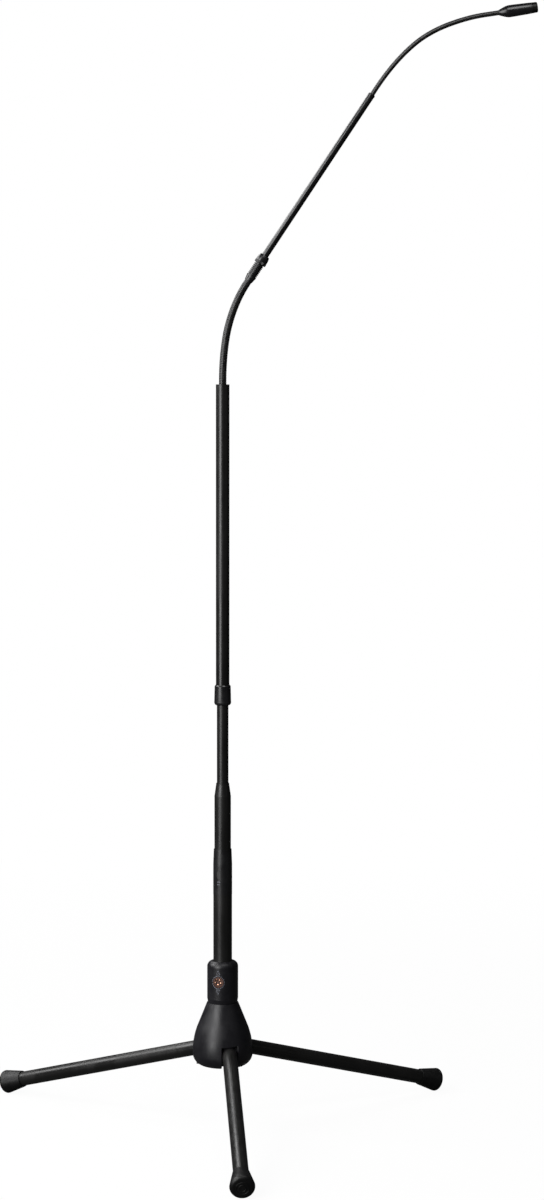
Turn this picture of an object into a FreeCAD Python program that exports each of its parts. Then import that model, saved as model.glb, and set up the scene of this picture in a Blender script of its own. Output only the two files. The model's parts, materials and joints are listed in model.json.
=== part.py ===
"""Floor-standing gooseneck microphone on a telescopic mast with a folding tripod.

Millimetres, +Z up.  The origin is on the floor under the mast axis, and the boom leans towards +X.
"""
import FreeCAD, Part
import math
import os

V = FreeCAD.Vector
UP = V(0, 0, 1)
RIGHT = V(1, 0, 0)
BACK = V(0, 1, 0)

# ---------------------------------------------------------------- driving dimensions
RUN = 0.05            # radial running clearance of a shaft or slider
GAP = 0.30            # clearance between moving faces that never bear on each other

# Tripod
LEG_AZIMUTHS = (-86.5, 30.0, 150.0)
LEG_SLOPE = 15.53     # degrees below level, with the leg on its stop
LEG_OFFSET = 7.9      # each leg stands this far to the side of the radial line
LEG_R = 10.2
LEG_WALL = 1.5
PIN_RADIUS = 24.0     # distance of each pivot pin from the mast axis
PIN_R = 3.0
PIN_LENGTH = 35.0
SLOT_WIDTH = 2 * LEG_R + 2 * GAP
SLOT_R = 11.6         # room round the knuckle
EYE_R = 10.6
EYE_HALF = 9.8
TUBE_START = 13.0     # along the leg, from the pin
TUBE_END = 341.0
CAP_START = 319.0
CAP_END = 352.0
CAP_R_IN = 11.6
CAP_R_OUT = 16.5
CAP_EDGE = 5.0
FOOT_FLAT = 0.5       # rubber taken off where the cap bears on the floor
SPIGOT_LENGTH = 30.0  # plain spigot of the knuckle inside the leg tube
SLOT_REACH = 80.0     # the leg slot is cut this far out, past the bell's skin
SLOT_EDGE = 1.4       # rounding of the slot's edges in the bell's skin
KEEPER_RISE = 3.0     # the keeper blocks lie this far inside the bell's base

# Hub and collar
BELL_BASE = 83.7
BELL_TOP = 171.7
BELL_R = 41.6
BELL_R_TOP = 21.6
BELL_R_BASE = 24.6
BELL_BULGE = (38.9, 126.0)     # radius and height on the bell's round shoulder
BELL_WAIST = (33.0, 143.5)     # where the shoulder runs into the straight cone
COLLAR_TOP = 230.0
COLLAR_R = 21.4
COLLAR_EDGE = 8.0
COLLAR_STEP = 1.2     # the collar's foot is drawn in by this much
COLLAR_FOOT = 6.0     # height of the drawn-in foot
BADGE_R = 7.6
BADGE_ANGLE = -106.6
BADGE_Z = 203.0
BADGE_SEAT = 19.2     # depth of the badge's seat, from the mast axis
BADGE_FACE = 20.7
GRUB_R = 2.5
GRUB_LENGTH = 6.0
GRUB_HEX = 1.4
GRUB_HEX_DEPTH = 2.5
GRUB_HEIGHTS = (188.0, 214.0)

# Signal socket in the underside of the bell
SOCKET_R = 9.5
SOCKET_WALL = 1.2
SOCKET_TOP = 104.0
INSERT_THICK = 5.0
CONTACT_R = 1.2
CONTACT_CIRCLE = 4.0
CONTACT_ANGLES = (90, 210, 330)
CONTACT_SETBACK = 3.0
LEAD_HOLE_R = 5.0

# Telescopic mast
LOWER_R = 12.9
LOWER_BORE = 11.7
LOWER_START = 125.0
LOWER_END = 340.0
FOOT_PLUG_LENGTH = 8.0
FOOT_PLUG_BORE = 3.0
SLEEVE_R = 13.05
SLEEVE_START = 323.0
SLEEVE_SHOULDER = 364.7
SLEEVE_TOP = 385.7
SPIGOT_R = 12.3       # turned-down end of the lower tube inside the sleeve
SPIGOT_LAP = 5.0      # the turned-down end starts this far inside the full tube
SLEEVE_LIP = 3.0      # depth of the lip that closes the sleeve
SLEEVE_LIP_WALL = 0.6
BUTTON_ANGLE = -115.0
BUTTON_Z = 351.0
BUTTON_WIDTH = 6.0
BUTTON_HEIGHT = 11.0
BUTTON_SUNK = 0.15
BUTTON_THICK = 0.9
BUTTON_TRAVEL = 0.5   # inwards, until it meets the liner's cam
MIDDLE_R = 11.35
MIDDLE_BORE = 10.15
MIDDLE_START = 205.0
MIDDLE_TOP = 457.8
REDUCER_TOP = 477.3
REDUCER_RIM = 1.5     # straight rim at each end of the reducer's cone
REDUCER_WALL = 1.0
THIN_R = 7.95
THIN_BORE = 6.95
THIN_START = 436.0
THIN_TOP = 885.0
BUSH_LENGTH = 20.0
BUSH_BORE = 8.0
BUSH_TONGUE = 10.0    # part of the bush inside the middle tube
THIN_BUSH_HALF = 12.0
THIN_BUSH_BORE = 5.0

# Sliding clutch and upper tube
CLUTCH_START = 585.4
CLUTCH_TOP = 613.0
CLUTCH_R = 11.55
UPPER_R = 9.25
UPPER_BORE = 8.35
UPPER_START = 604.0
UPPER_TOP = 1024.6
CLUTCH_FOOT = 1.0     # the seat and the collet stand this far inside the ring's foot
CLUTCH_ROUND = 5.0    # height of the ring's rounded foot
CLUTCH_FOOT_WALL = 0.2
CLUTCH_EDGE = 1.5
CLUTCH_TAPER = 0.5
COLLET_TOP = 630.0
COLLET_SLITS = 3
SLIT_WIDTH = 1.0
SLIT_START = 4.0      # above the foot of the upper tube
PLUG_LENGTH = 22.0
PLUG_SUNK = 0.6
LEAD_START = 650.0

# Lower gooseneck: length to the first joint, pitch of the joints, length after the last
LOWER_NECK_R = 5.2
LOWER_NECK_LENGTHS = (18.0, 28.0, 28.0, 28.0, 28.0, 17.0)
LOWER_NECK_BENDS = (4.0, 4.4, 8.0, 7.7, 9.55)
LOWER_CUP = 3.0       # each link stops this far short of the next pivot

# Coupling and boom tube
CONE_LENGTH = 7.0
CONE_WALL = 0.3
BARREL_R = 6.95
BARREL_LENGTH = 20.5
NUT_R = 8.45
NUT_LENGTH = 4.3
NUT_CONE = 9.4
NUT_EDGE = 0.6
NUT_NOSE = 0.5
BOOM_R = 4.72
BOOM_BORE = 3.6
BOOM_LENGTH = 260.5
BOOM_ROOT = 12.0      # boom tube inside the coupling nut
RING_LENGTH = 3.0
RING_STEP = 0.25      # the end ring stands proud of the tube
RING_EDGE = 0.8
RING_DEPTH = 11.0
LEAD_R = 1.5
LEAD_MARGIN = 18.0    # the boom's lead stops this far from its end

# Upper gooseneck
UPPER_NECK_R = 3.35
UPPER_NECK_LENGTHS = (18.0, 27.0, 27.0, 27.0, 27.0, 27.0, 27.0, 31.0)
UPPER_NECK_BENDS = (3.45, 5.4, 6.7, 10.8, 9.0, 5.5, 7.0)
UPPER_CUP = 2.2
UPPER_ROOT = 12.0     # neck inside the boom's end ring
HEAD_ROOT = 10.5      # neck inside the head

# Microphone head, along its own axis
HEAD_CONE = 18.5
HEAD_BODY = 25.3
HEAD_GRILLE = 8.5
HEAD_R = 8.3
HEAD_R_FRONT = 6.9
GRILLE_R = 6.6
HEAD_WALL = 1.0
OGIVE = (5.35, 7.5)   # radius and height on the head's curved rear
CONE_INNER = 11.0     # the rear shell is solid up to here
GRILLE_WALL = 0.8
GRILLE_HOLES = 12
GRILLE_SLOT_HALF = 0.6
GRILLE_SLOT_START = 1.6
GRILLE_SLOT_END = 2.0
GRILLE_SLOT_DEPTH = (4.5, 9.0)
GRILLE_HOLE_R = 0.55
GRILLE_HOLE_CIRCLE = 3.9
CAPSULE_BACK = 2.0
CAPSULE_LENGTH = 6.0
SEAT_BORE = 2.0
SEAT_LENGTH = 3.0
BOARD = (10.0, 1.2, 18.0)
PAST = 40.0           # a cut runs this far past what it cuts


# ---------------------------------------------------------------- helpers
def polar(radius, degrees, z=0.0):
    """Point at a radius and azimuth round the mast axis."""
    angle = math.radians(degrees)
    return V(radius * math.cos(angle), radius * math.sin(angle), z)


def rod(radius, start, end):
    """Cylinder between two points."""
    axis = end - start
    return Part.makeCylinder(radius, axis.Length, start, axis)


def ring(outer, inner, z0, z1):
    """Upright tube round the mast axis."""
    return rod(outer, UP * z0, UP * z1).cut(rod(inner, UP * (z0 - 1), UP * (z1 + 1)))


def spun(*stretches):
    """Solid of revolution about Z; a stretch of two points is a line, and of three an arc."""
    edges = []
    for stretch in stretches:
        points = [V(r, 0, z) for r, z in stretch]
        curve = Part.Arc(*points) if len(points) == 3 else Part.LineSegment(*points)
        edges.append(curve.toShape())
    face = Part.Face(Part.Wire(edges))
    return face.revolve(V(0, 0, 0), UP, 360)


def outline(*points):
    """Straight stretches through the points and back to the first."""
    return [(a, b) for a, b in zip(points, points[1:] + points[:1])]


def along(shape, origin, direction):
    """Move a shape built along +Z so that it starts at origin and points along direction."""
    moved = shape.copy()
    turn = FreeCAD.Rotation(UP, direction)
    moved.Placement = FreeCAD.Placement(origin, turn).multiply(shape.Placement)
    return moved


def box_at(x0, x1, y0, y1, z0, z1):
    """Box between two corners."""
    return Part.makeBox(x1 - x0, y1 - y0, z1 - z0, V(x0, y0, z0))


# ---------------------------------------------------------------- tripod
SLOPE = math.radians(LEG_SLOPE)
RIM_AXIS = CAP_END - CAP_EDGE
PIN_Z = RIM_AXIS * math.sin(SLOPE) + (CAP_R_OUT - CAP_EDGE) * math.cos(SLOPE) + CAP_EDGE - FOOT_FLAT


def place_leg(shape, azimuth):
    """Move a piece built along +X from the pin, at the pin's own origin, into its slot."""
    moved = shape.copy()
    moved.rotate(V(0, 0, 0), BACK, LEG_SLOPE)
    moved.translate(V(PIN_RADIUS, LEG_OFFSET, PIN_Z))
    moved.rotate(V(0, 0, 0), UP, azimuth)
    return moved


def leg_knuckle():
    """Cast eye round the pin with a spigot inside the leg tube."""
    eye = rod(EYE_R, V(0, -EYE_HALF, 0), V(0, EYE_HALF, 0))
    shank = rod(LEG_R, V(0, 0, 0), V(TUBE_START - RUN, 0, 0))
    spigot = rod(LEG_R - LEG_WALL - RUN, V(0, 0, 0), V(TUBE_START + SPIGOT_LENGTH, 0, 0))
    bore = rod(PIN_R + RUN, V(0, -LEG_R - 1, 0), V(0, LEG_R + 1, 0))
    return eye.fuse(shank).fuse(spigot).cut(bore).removeSplitter()


def leg_tube():
    """Plain round leg tube."""
    outer = rod(LEG_R, V(TUBE_START, 0, 0), V(TUBE_END, 0, 0))
    return outer.cut(rod(LEG_R - LEG_WALL, V(0, 0, 0), V(TUBE_END + 1, 0, 0)))


def foot_cap():
    """Flared rubber cap with a rounded rim, open towards the leg."""
    inner = LEG_R + RUN
    corner = CAP_EDGE * math.sqrt(0.5)
    rim = CAP_R_OUT - CAP_EDGE
    seat = TUBE_END + RUN
    cap = spun(
        ((0, seat), (0, CAP_END)),
        ((0, CAP_END), (rim, CAP_END)),
        ((rim, CAP_END), (rim + corner, RIM_AXIS + corner), (CAP_R_OUT, RIM_AXIS)),
        ((CAP_R_OUT, RIM_AXIS), (CAP_R_IN, CAP_START)),
        ((CAP_R_IN, CAP_START), (inner, CAP_START)),
        ((inner, CAP_START), (inner, seat)),
        ((inner, seat), (0, seat)),
    )
    return along(cap, V(0, 0, 0), RIGHT)


def on_floor(shape):
    """Take off the rubber below the floor, which leaves the flat that the foot stands on."""
    room = CAP_END + BELL_R + PAST
    return shape.cut(box_at(-room, room, -room, room, -room, 0))


def leg_slot():
    """Space that one leg needs from its stop down to the folded position, before turning."""
    half = SLOT_WIDTH / 2
    y0 = LEG_OFFSET - half
    pin = V(PIN_RADIUS, y0, PIN_Z)
    eye = Part.makeCylinder(SLOT_R, SLOT_WIDTH, pin, BACK)
    roof = LEG_R + GAP
    inner = PIN_RADIUS - SLOT_R
    tip = V(PIN_RADIUS + roof * math.sin(SLOPE), y0, PIN_Z + roof * math.cos(SLOPE))
    end = V(tip.x + SLOT_REACH * math.cos(SLOPE), y0, tip.z - SLOT_REACH * math.sin(SLOPE))
    corners = [V(inner, y0, PIN_Z), pin, tip, end, V(end.x, y0, 0), V(inner, y0, 0)]
    sweep = Part.Face(Part.makePolygon(corners + corners[:1])).extrude(BACK * SLOT_WIDTH)
    return eye.fuse(sweep)


def pin_rod(radius, clear=0.0):
    """Pivot pin of one leg, before turning."""
    half = PIN_LENGTH / 2 + clear
    start = V(PIN_RADIUS, LEG_OFFSET - half, PIN_Z)
    return rod(radius, start, start + BACK * (2 * half))


def keeper_blocks(clear=0.0):
    """The two blocks that close the channels under one pin, before turning."""
    blocks = []
    outer = PIN_LENGTH / 2 + clear
    inner = SLOT_WIDTH / 2
    width = PIN_R + clear
    for y0, y1 in ((-outer, -inner), (inner, outer)):
        blocks.append(box_at(PIN_RADIUS - width, PIN_RADIUS + width, LEG_OFFSET + y0, LEG_OFFSET + y1,
                             BELL_BASE + KEEPER_RISE - clear, PIN_Z - PIN_R - RUN + clear))
    return blocks


def turned(shape, azimuth):
    """Turn a piece about the mast axis."""
    moved = shape.copy()
    moved.rotate(V(0, 0, 0), UP, azimuth)
    return moved


def bell_blank():
    """Solid bell, before anything is cut into it."""
    round_r = BELL_R - BELL_R_BASE
    diagonal = round_r * math.sqrt(0.5)
    equator = BELL_BASE + round_r
    return spun(
        ((0, BELL_BASE), (BELL_R_BASE, BELL_BASE)),
        ((BELL_R_BASE, BELL_BASE), (BELL_R_BASE + diagonal, equator - diagonal), (BELL_R, equator)),
        ((BELL_R, equator), BELL_BULGE, BELL_WAIST),
        (BELL_WAIST, (BELL_R_TOP, BELL_TOP)),
        ((BELL_R_TOP, BELL_TOP), (0, BELL_TOP)),
        ((0, BELL_TOP), (0, BELL_BASE)),
    )


def skin_edges(shape, skin):
    """Edges that the leg slots leave in the outer skin."""
    found = []
    for edge in shape.Edges:
        span = edge.LastParameter - edge.FirstParameter
        points = [edge.valueAt(edge.FirstParameter + span * share) for share in (0.05, 0.5, 0.95)]
        on_skin = all(skin.distToShape(Part.Vertex(point))[0] < RUN / 10 for point in points)
        if on_skin and edge.Curve.TypeId == "Part::GeomBSplineCurve":
            found.append(edge)
    return found


def hub_bell():
    """Cast bell with three leg slots, pin seats open from below, tube seat and socket."""
    bell = bell_blank()
    skin = Part.Shell([face for face in bell.Faces if face.Surface.TypeId != "Part::GeomPlane"])
    for azimuth in LEG_AZIMUTHS:
        bell = bell.cut(turned(leg_slot(), azimuth))
    bell = bell.removeSplitter()
    bell = bell.makeFillet(SLOT_EDGE, skin_edges(bell, skin))
    bell = bell.cut(rod(LOWER_R + RUN, UP * LOWER_START, UP * (BELL_TOP + 1)))
    bell = bell.cut(rod(SOCKET_R + RUN, UP * (BELL_BASE - 1), UP * SOCKET_TOP))
    bell = bell.cut(rod(LEAD_HOLE_R, UP * BELL_BASE, UP * (LOWER_START + 1)))
    for azimuth in LEG_AZIMUTHS:
        bell = bell.cut(turned(pin_rod(PIN_R + RUN, RUN), azimuth))
        for block in keeper_blocks(RUN):
            below = block.copy()
            below.translate(UP * -(KEEPER_RISE + 1))
            bell = bell.cut(turned(block.fuse(below), azimuth))
    return bell.removeSplitter()


def hub_collar():
    """Collar above the bell, with the badge's seat and two grub screw holes at the back."""
    corner = COLLAR_EDGE * (1 - math.sqrt(0.5))
    collar = spun(
        ((LOWER_R + RUN, BELL_TOP + RUN), (COLLAR_R - COLLAR_STEP, BELL_TOP + RUN)),
        ((COLLAR_R - COLLAR_STEP, BELL_TOP + RUN), (COLLAR_R, BELL_TOP + COLLAR_FOOT)),
        ((COLLAR_R, BELL_TOP + COLLAR_FOOT), (COLLAR_R, COLLAR_TOP - COLLAR_EDGE)),
        ((COLLAR_R, COLLAR_TOP - COLLAR_EDGE), (COLLAR_R - corner, COLLAR_TOP - corner),
         (COLLAR_R - COLLAR_EDGE, COLLAR_TOP)),
        ((COLLAR_R - COLLAR_EDGE, COLLAR_TOP), (LOWER_R + RUN, COLLAR_TOP)),
        ((LOWER_R + RUN, COLLAR_TOP), (LOWER_R + RUN, BELL_TOP + RUN)),
    )
    seat = rod(BADGE_R + RUN, polar(BADGE_SEAT, BADGE_ANGLE, BADGE_Z), polar(PAST, BADGE_ANGLE, BADGE_Z))
    collar = collar.cut(seat)
    for z in GRUB_HEIGHTS:
        collar = collar.cut(rod(GRUB_R + RUN, V(0, LOWER_R, z), V(0, PAST, z)))
    return collar


def grub_screw(z):
    """Socket-headed grub screw that clamps the collar on the tube."""
    body = rod(GRUB_R, V(0, LOWER_R + RUN, z), V(0, LOWER_R + GRUB_LENGTH, z))
    corners = [polar(GRUB_HEX, 60 * k) for k in range(6)]
    hexagon = [V(corner.x, 0, corner.y) for corner in corners]
    socket = Part.Face(Part.makePolygon(hexagon + hexagon[:1])).extrude(BACK * PAST)
    socket.translate(V(0, LOWER_R + GRUB_LENGTH - GRUB_HEX_DEPTH, z))
    return body.cut(socket)


def collar_badge():
    """Plain round badge."""
    return rod(BADGE_R, polar(BADGE_SEAT + RUN, BADGE_ANGLE, BADGE_Z), polar(BADGE_FACE, BADGE_ANGLE, BADGE_Z))


def socket_shell():
    """Round shell of the signal connector in the underside of the hub."""
    return ring(SOCKET_R, SOCKET_R - SOCKET_WALL, BELL_BASE, SOCKET_TOP - RUN)


def socket_insert():
    """Insulating disc that carries the contact pins."""
    disc = rod(SOCKET_R - SOCKET_WALL - RUN, UP * (SOCKET_TOP - INSERT_THICK), UP * (SOCKET_TOP - RUN))
    for angle in CONTACT_ANGLES:
        disc = disc.cut(contact_rod(CONTACT_R + RUN, angle, PAST))
    return disc


def contact_rod(radius, angle, length):
    """Round bar along one contact's axis, from the contact's tip."""
    tip = polar(CONTACT_CIRCLE, angle, BELL_BASE + CONTACT_SETBACK)
    return rod(radius, tip, tip + UP * length)


def socket_pin(angle):
    """One contact pin, flush with the back of the disc."""
    return contact_rod(CONTACT_R, angle, SOCKET_TOP - RUN - BELL_BASE - CONTACT_SETBACK)


# ---------------------------------------------------------------- mast
def lower_tube():
    """Lower mast tube with a turned-down end under the sleeve."""
    tube = ring(LOWER_R, LOWER_BORE, LOWER_START + RUN, SLEEVE_START - RUN)
    spigot = ring(SPIGOT_R, LOWER_BORE, SLEEVE_START - SPIGOT_LAP, LOWER_END)
    return tube.fuse(spigot).removeSplitter()


def tube_plug():
    """Plug in the foot of the lower tube, bored for the lead."""
    return ring(LOWER_BORE - RUN, FOOT_PLUG_BORE, LOWER_START + RUN, LOWER_START + FOOT_PLUG_LENGTH)


def pocket(clear):
    """Radial slot with round ends at the button's place, wider than the button by clear all round."""
    width = BUTTON_WIDTH + 2 * clear
    half = (BUTTON_HEIGHT - BUTTON_WIDTH) / 2
    outward = polar(1, BUTTON_ANGLE)
    side = UP.cross(outward)
    centre = outward * (SLEEVE_R / 2) + UP * BUTTON_Z
    low = centre - side * (width / 2) - UP * half
    corners = [low, low + side * width, low + side * width + UP * (2 * half), low + UP * (2 * half)]
    shape = Part.Face(Part.makePolygon(corners + corners[:1])).extrude(outward * PAST)
    for z in (-half, half):
        shape = shape.fuse(rod(width / 2, centre + UP * z, centre + UP * z + outward * PAST))
    return shape


def grip_sleeve():
    """Tapered release sleeve at the top of the lower tube."""
    bore = SPIGOT_R + RUN
    lip = MIDDLE_R + GAP
    sleeve = spun(*outline(
        (bore, SLEEVE_START), (SLEEVE_R, SLEEVE_START), (SLEEVE_R, SLEEVE_SHOULDER),
        (lip + SLEEVE_LIP_WALL, SLEEVE_TOP), (lip, SLEEVE_TOP), (lip, SLEEVE_TOP - SLEEVE_LIP),
        (bore, SLEEVE_TOP - SLEEVE_LIP)))
    return sleeve.cut(pocket(GAP))


def grip_liner():
    """Nylon liner that the middle tube runs in."""
    liner = ring(SPIGOT_R, MIDDLE_R + RUN, LOWER_END + RUN, SLEEVE_TOP - SLEEVE_LIP - RUN)
    return liner.cut(pocket(GAP))


def release_button():
    """Oval release button, sunk just below the sleeve's surface."""
    face = SLEEVE_R - BUTTON_SUNK
    shell = ring(face, face - BUTTON_THICK, BUTTON_Z - BUTTON_HEIGHT, BUTTON_Z + BUTTON_HEIGHT)
    return shell.common(pocket(0.0))


def middle_tube():
    """Middle mast tube."""
    return ring(MIDDLE_R, MIDDLE_BORE, MIDDLE_START, MIDDLE_TOP)


def middle_bush():
    """Nylon guide ring on the lower end of the middle tube."""
    z0 = MIDDLE_START - BUSH_LENGTH
    guide = ring(LOWER_BORE - RUN, BUSH_BORE, z0, MIDDLE_START - RUN)
    tongue = ring(MIDDLE_BORE - RUN, BUSH_BORE, z0, MIDDLE_START + BUSH_TONGUE)
    return guide.fuse(tongue).removeSplitter()


def tube_reducer():
    """Conical reducer from the middle tube to the thin tube."""
    bore = THIN_R + RUN
    spigot = MIDDLE_BORE - RUN
    return spun(*outline(
        (bore, THIN_START), (spigot, THIN_START), (spigot, MIDDLE_TOP + RUN), (MIDDLE_R, MIDDLE_TOP + RUN),
        (MIDDLE_R, MIDDLE_TOP + REDUCER_RIM), (bore + REDUCER_WALL, REDUCER_TOP - REDUCER_RIM),
        (bore + REDUCER_WALL, REDUCER_TOP), (bore, REDUCER_TOP)))


def thin_tube():
    """Inner tube that the upper tube slides on."""
    return ring(THIN_R, THIN_BORE, THIN_START, THIN_TOP)


def thin_bush():
    """Nylon guide on the upper end of the thin tube."""
    head = ring(UPPER_BORE - RUN, THIN_BUSH_BORE, THIN_TOP + RUN, THIN_TOP + THIN_BUSH_HALF)
    tongue = ring(THIN_BORE - RUN, THIN_BUSH_BORE, THIN_TOP - THIN_BUSH_HALF, THIN_TOP + THIN_BUSH_HALF)
    return head.fuse(tongue).removeSplitter()


def clutch_body():
    """Seat of the clutch, below the foot of the upper tube."""
    return ring(UPPER_R - RUN, UPPER_BORE, CLUTCH_START + CLUTCH_FOOT, UPPER_START - RUN)


def clutch_collet():
    """Split nylon collet that grips the thin tube."""
    collet = ring(UPPER_BORE - RUN, THIN_R + RUN, CLUTCH_START + CLUTCH_FOOT, COLLET_TOP)
    half = SLIT_WIDTH / 2
    slit = box_at(0, PAST, -half, half, UPPER_START + SLIT_START, COLLET_TOP + 1)
    for number in range(COLLET_SLITS):
        collet = collet.cut(turned(slit, 360 / COLLET_SLITS * number))
    return collet


def clutch_ring():
    """Barrel-shaped twist ring."""
    bore = UPPER_R + RUN
    foot = bore + CLUTCH_FOOT_WALL
    shoulder = CLUTCH_R - CLUTCH_TAPER
    waist = CLUTCH_START + CLUTCH_ROUND
    return spun(
        ((bore, CLUTCH_START), (foot, CLUTCH_START)),
        ((foot, CLUTCH_START), (shoulder, CLUTCH_START + CLUTCH_ROUND / 3), (CLUTCH_R, waist)),
        ((CLUTCH_R, waist), (shoulder, CLUTCH_TOP - CLUTCH_EDGE)),
        ((shoulder, CLUTCH_TOP - CLUTCH_EDGE), (CLUTCH_R - CLUTCH_EDGE, CLUTCH_TOP)),
        ((CLUTCH_R - CLUTCH_EDGE, CLUTCH_TOP), (bore, CLUTCH_TOP)),
        ((bore, CLUTCH_TOP), (bore, CLUTCH_START)),
    )


def upper_tube():
    """Upper mast tube."""
    return ring(UPPER_R, UPPER_BORE, UPPER_START, UPPER_TOP)


def upper_plug():
    """Plug in the top of the upper tube that holds the lower gooseneck."""
    return ring(UPPER_BORE - RUN, LOWER_NECK_R + RUN, UPPER_TOP - PLUG_LENGTH, UPPER_TOP - PLUG_SUNK)


# ---------------------------------------------------------------- goosenecks, coupling and boom
def heading(tilt):
    """Direction in the XZ plane, tilted from upright towards +X."""
    angle = math.radians(tilt)
    return V(math.sin(angle), 0, math.cos(angle))


def chain(start, tilt, lengths, bends):
    """Corner points and headings of a chain of straight links."""
    points = [start]
    headings = []
    for number, length in enumerate(lengths):
        if number:
            tilt += bends[number - 1]
        headings.append(heading(tilt))
        points.append(points[-1] + headings[-1] * length)
    return points, headings, tilt


LOWER_POINTS, LOWER_HEADINGS, BOOM_TILT = chain(UP * UPPER_TOP, 0.0, LOWER_NECK_LENGTHS, LOWER_NECK_BENDS)
BOOM_AXIS = LOWER_HEADINGS[-1]
BARREL_START = LOWER_POINTS[-1]
BOOM_START = BARREL_START + BOOM_AXIS * (CONE_LENGTH + BARREL_LENGTH + NUT_LENGTH + NUT_CONE)
BOOM_END = BOOM_START + BOOM_AXIS * BOOM_LENGTH
UPPER_POINTS, UPPER_HEADINGS, HEAD_TILT = chain(BOOM_END, BOOM_TILT, UPPER_NECK_LENGTHS, UPPER_NECK_BENDS)
HEAD_START = UPPER_POINTS[-1]
HEAD_AXIS = UPPER_HEADINGS[-1]


def link(radius, start, end, direction, ball, cup):
    """One stiff link of a gooseneck: a round end at its start, a dished end cup short of its far joint."""
    stop = end - direction * cup
    body = rod(radius, start, stop)
    if ball:
        body = body.fuse(Part.makeSphere(radius, start))
    if cup:
        body = body.cut(Part.makeSphere(radius + RUN, end))
    return body.removeSplitter()


def neck_links(name, radius, points, headings, cup, root_depth, tip_depth):
    """All links of one gooseneck, with plain ends that sink into the pieces it joins."""
    links = {}
    last = len(headings) - 1
    for number, direction in enumerate(headings):
        start = points[number]
        end = points[number + 1]
        if number == 0:
            start = start - direction * root_depth
        if number == last:
            end = end + direction * tip_depth
        links[f"{name}_{number + 1}"] = link(radius, start, end, direction, number > 0, cup * (number < last))
    return links


def coupling_sleeve():
    """Threaded sleeve on the end of the lower gooseneck."""
    bore = LOWER_NECK_R + RUN
    end = CONE_LENGTH + BARREL_LENGTH
    sleeve = spun(*outline(
        (bore, 0.0), (bore + CONE_WALL, 0.0), (BARREL_R, CONE_LENGTH), (BARREL_R, end), (bore, end)))
    return along(sleeve, BARREL_START, BOOM_AXIS)


def coupling_nut():
    """Cone-nosed nut that clamps the boom tube to the sleeve."""
    bore = BOOM_R + RUN
    top = NUT_LENGTH + NUT_CONE
    nut = spun(*outline(
        (bore, RUN), (NUT_R - NUT_EDGE, RUN), (NUT_R, NUT_EDGE), (NUT_R, NUT_LENGTH), (bore + NUT_NOSE, top),
        (bore, top)))
    return along(nut, BARREL_START + BOOM_AXIS * (CONE_LENGTH + BARREL_LENGTH), BOOM_AXIS)


def boom_tube():
    """Straight boom tube."""
    start = BOOM_START - BOOM_AXIS * BOOM_ROOT
    outer = rod(BOOM_R, start, BOOM_END - BOOM_AXIS * RING_LENGTH)
    return outer.cut(rod(BOOM_BORE, start - BOOM_AXIS, BOOM_END))


def boom_end_ring():
    """Ring pressed into the top of the boom tube round the upper gooseneck."""
    rim = BOOM_R + RING_STEP
    bore = UPPER_NECK_R + RUN
    skirt = BOOM_BORE - RUN
    end = spun(*outline(
        (bore, -RING_DEPTH), (skirt, -RING_DEPTH), (skirt, RUN), (rim, RUN), (rim, RING_LENGTH - RING_EDGE),
        (rim - RING_EDGE, RING_LENGTH), (bore, RING_LENGTH)))
    return along(end, BOOM_END - BOOM_AXIS * RING_LENGTH, BOOM_AXIS)


def straight_lead(start, end):
    """Straight stretch of the screened lead inside a tube."""
    return rod(LEAD_R, start, end)


# ---------------------------------------------------------------- microphone head
def on_head(shape):
    """Place a piece built along +Z from the root of the head."""
    return along(shape, HEAD_START, HEAD_AXIS)


def head_cone():
    """Tapered rear shell of the head."""
    neck = UPPER_NECK_R + RUN
    inner = HEAD_R - HEAD_WALL
    tail = neck + CONE_WALL
    cone = spun(
        ((neck, 0), (tail, 0)),
        ((tail, 0), OGIVE, (HEAD_R, HEAD_CONE)),
        ((HEAD_R, HEAD_CONE), (inner, HEAD_CONE)),
        ((inner, HEAD_CONE), (neck, CONE_INNER)),
        ((neck, CONE_INNER), (neck, 0)),
    )
    return on_head(cone)


def head_body():
    """Front barrel of the head."""
    z0 = HEAD_CONE + RUN
    z1 = HEAD_CONE + HEAD_BODY
    return on_head(spun(*outline(
        (HEAD_R - HEAD_WALL, z0), (HEAD_R, z0), (HEAD_R_FRONT, z1), (HEAD_R_FRONT - HEAD_WALL, z1))))


def head_grille():
    """Perforated nose of the head; the slots run all round its side."""
    z0 = HEAD_CONE + HEAD_BODY + RUN
    z1 = z0 + HEAD_GRILLE
    inner = GRILLE_R - GRILLE_WALL
    cup = spun(*outline(
        (inner, z0), (HEAD_R_FRONT, z0), (GRILLE_R, z1 - GRILLE_WALL), (inner, z1), (0.0, z1),
        (0.0, z1 - GRILLE_WALL), (inner, z1 - GRILLE_WALL)))
    r0, r1 = GRILLE_SLOT_DEPTH
    half = GRILLE_SLOT_HALF
    slot = box_at(r0, r1, -half, half, z0 + GRILLE_SLOT_START, z1 - GRILLE_SLOT_END)
    hole = rod(GRILLE_HOLE_R, V(GRILLE_HOLE_CIRCLE, 0, z0), V(GRILLE_HOLE_CIRCLE, 0, z1 + 1))
    for number in range(GRILLE_HOLES):
        for cutter in (slot, hole):
            cup = cup.cut(turned(cutter, 360 / GRILLE_HOLES * number))
    return on_head(cup)


def capsule():
    """Condenser capsule."""
    z1 = HEAD_CONE + HEAD_BODY + HEAD_GRILLE - CAPSULE_BACK
    return on_head(rod(GRILLE_R - GRILLE_WALL - GAP, UP * (z1 - CAPSULE_LENGTH), UP * z1))


def capsule_seat():
    """Rubber ring that holds the capsule in the front barrel."""
    z1 = HEAD_CONE + HEAD_BODY - RUN
    return on_head(ring(HEAD_R_FRONT - HEAD_WALL - 2 * RUN, SEAT_BORE, z1 - SEAT_LENGTH, z1))


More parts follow.
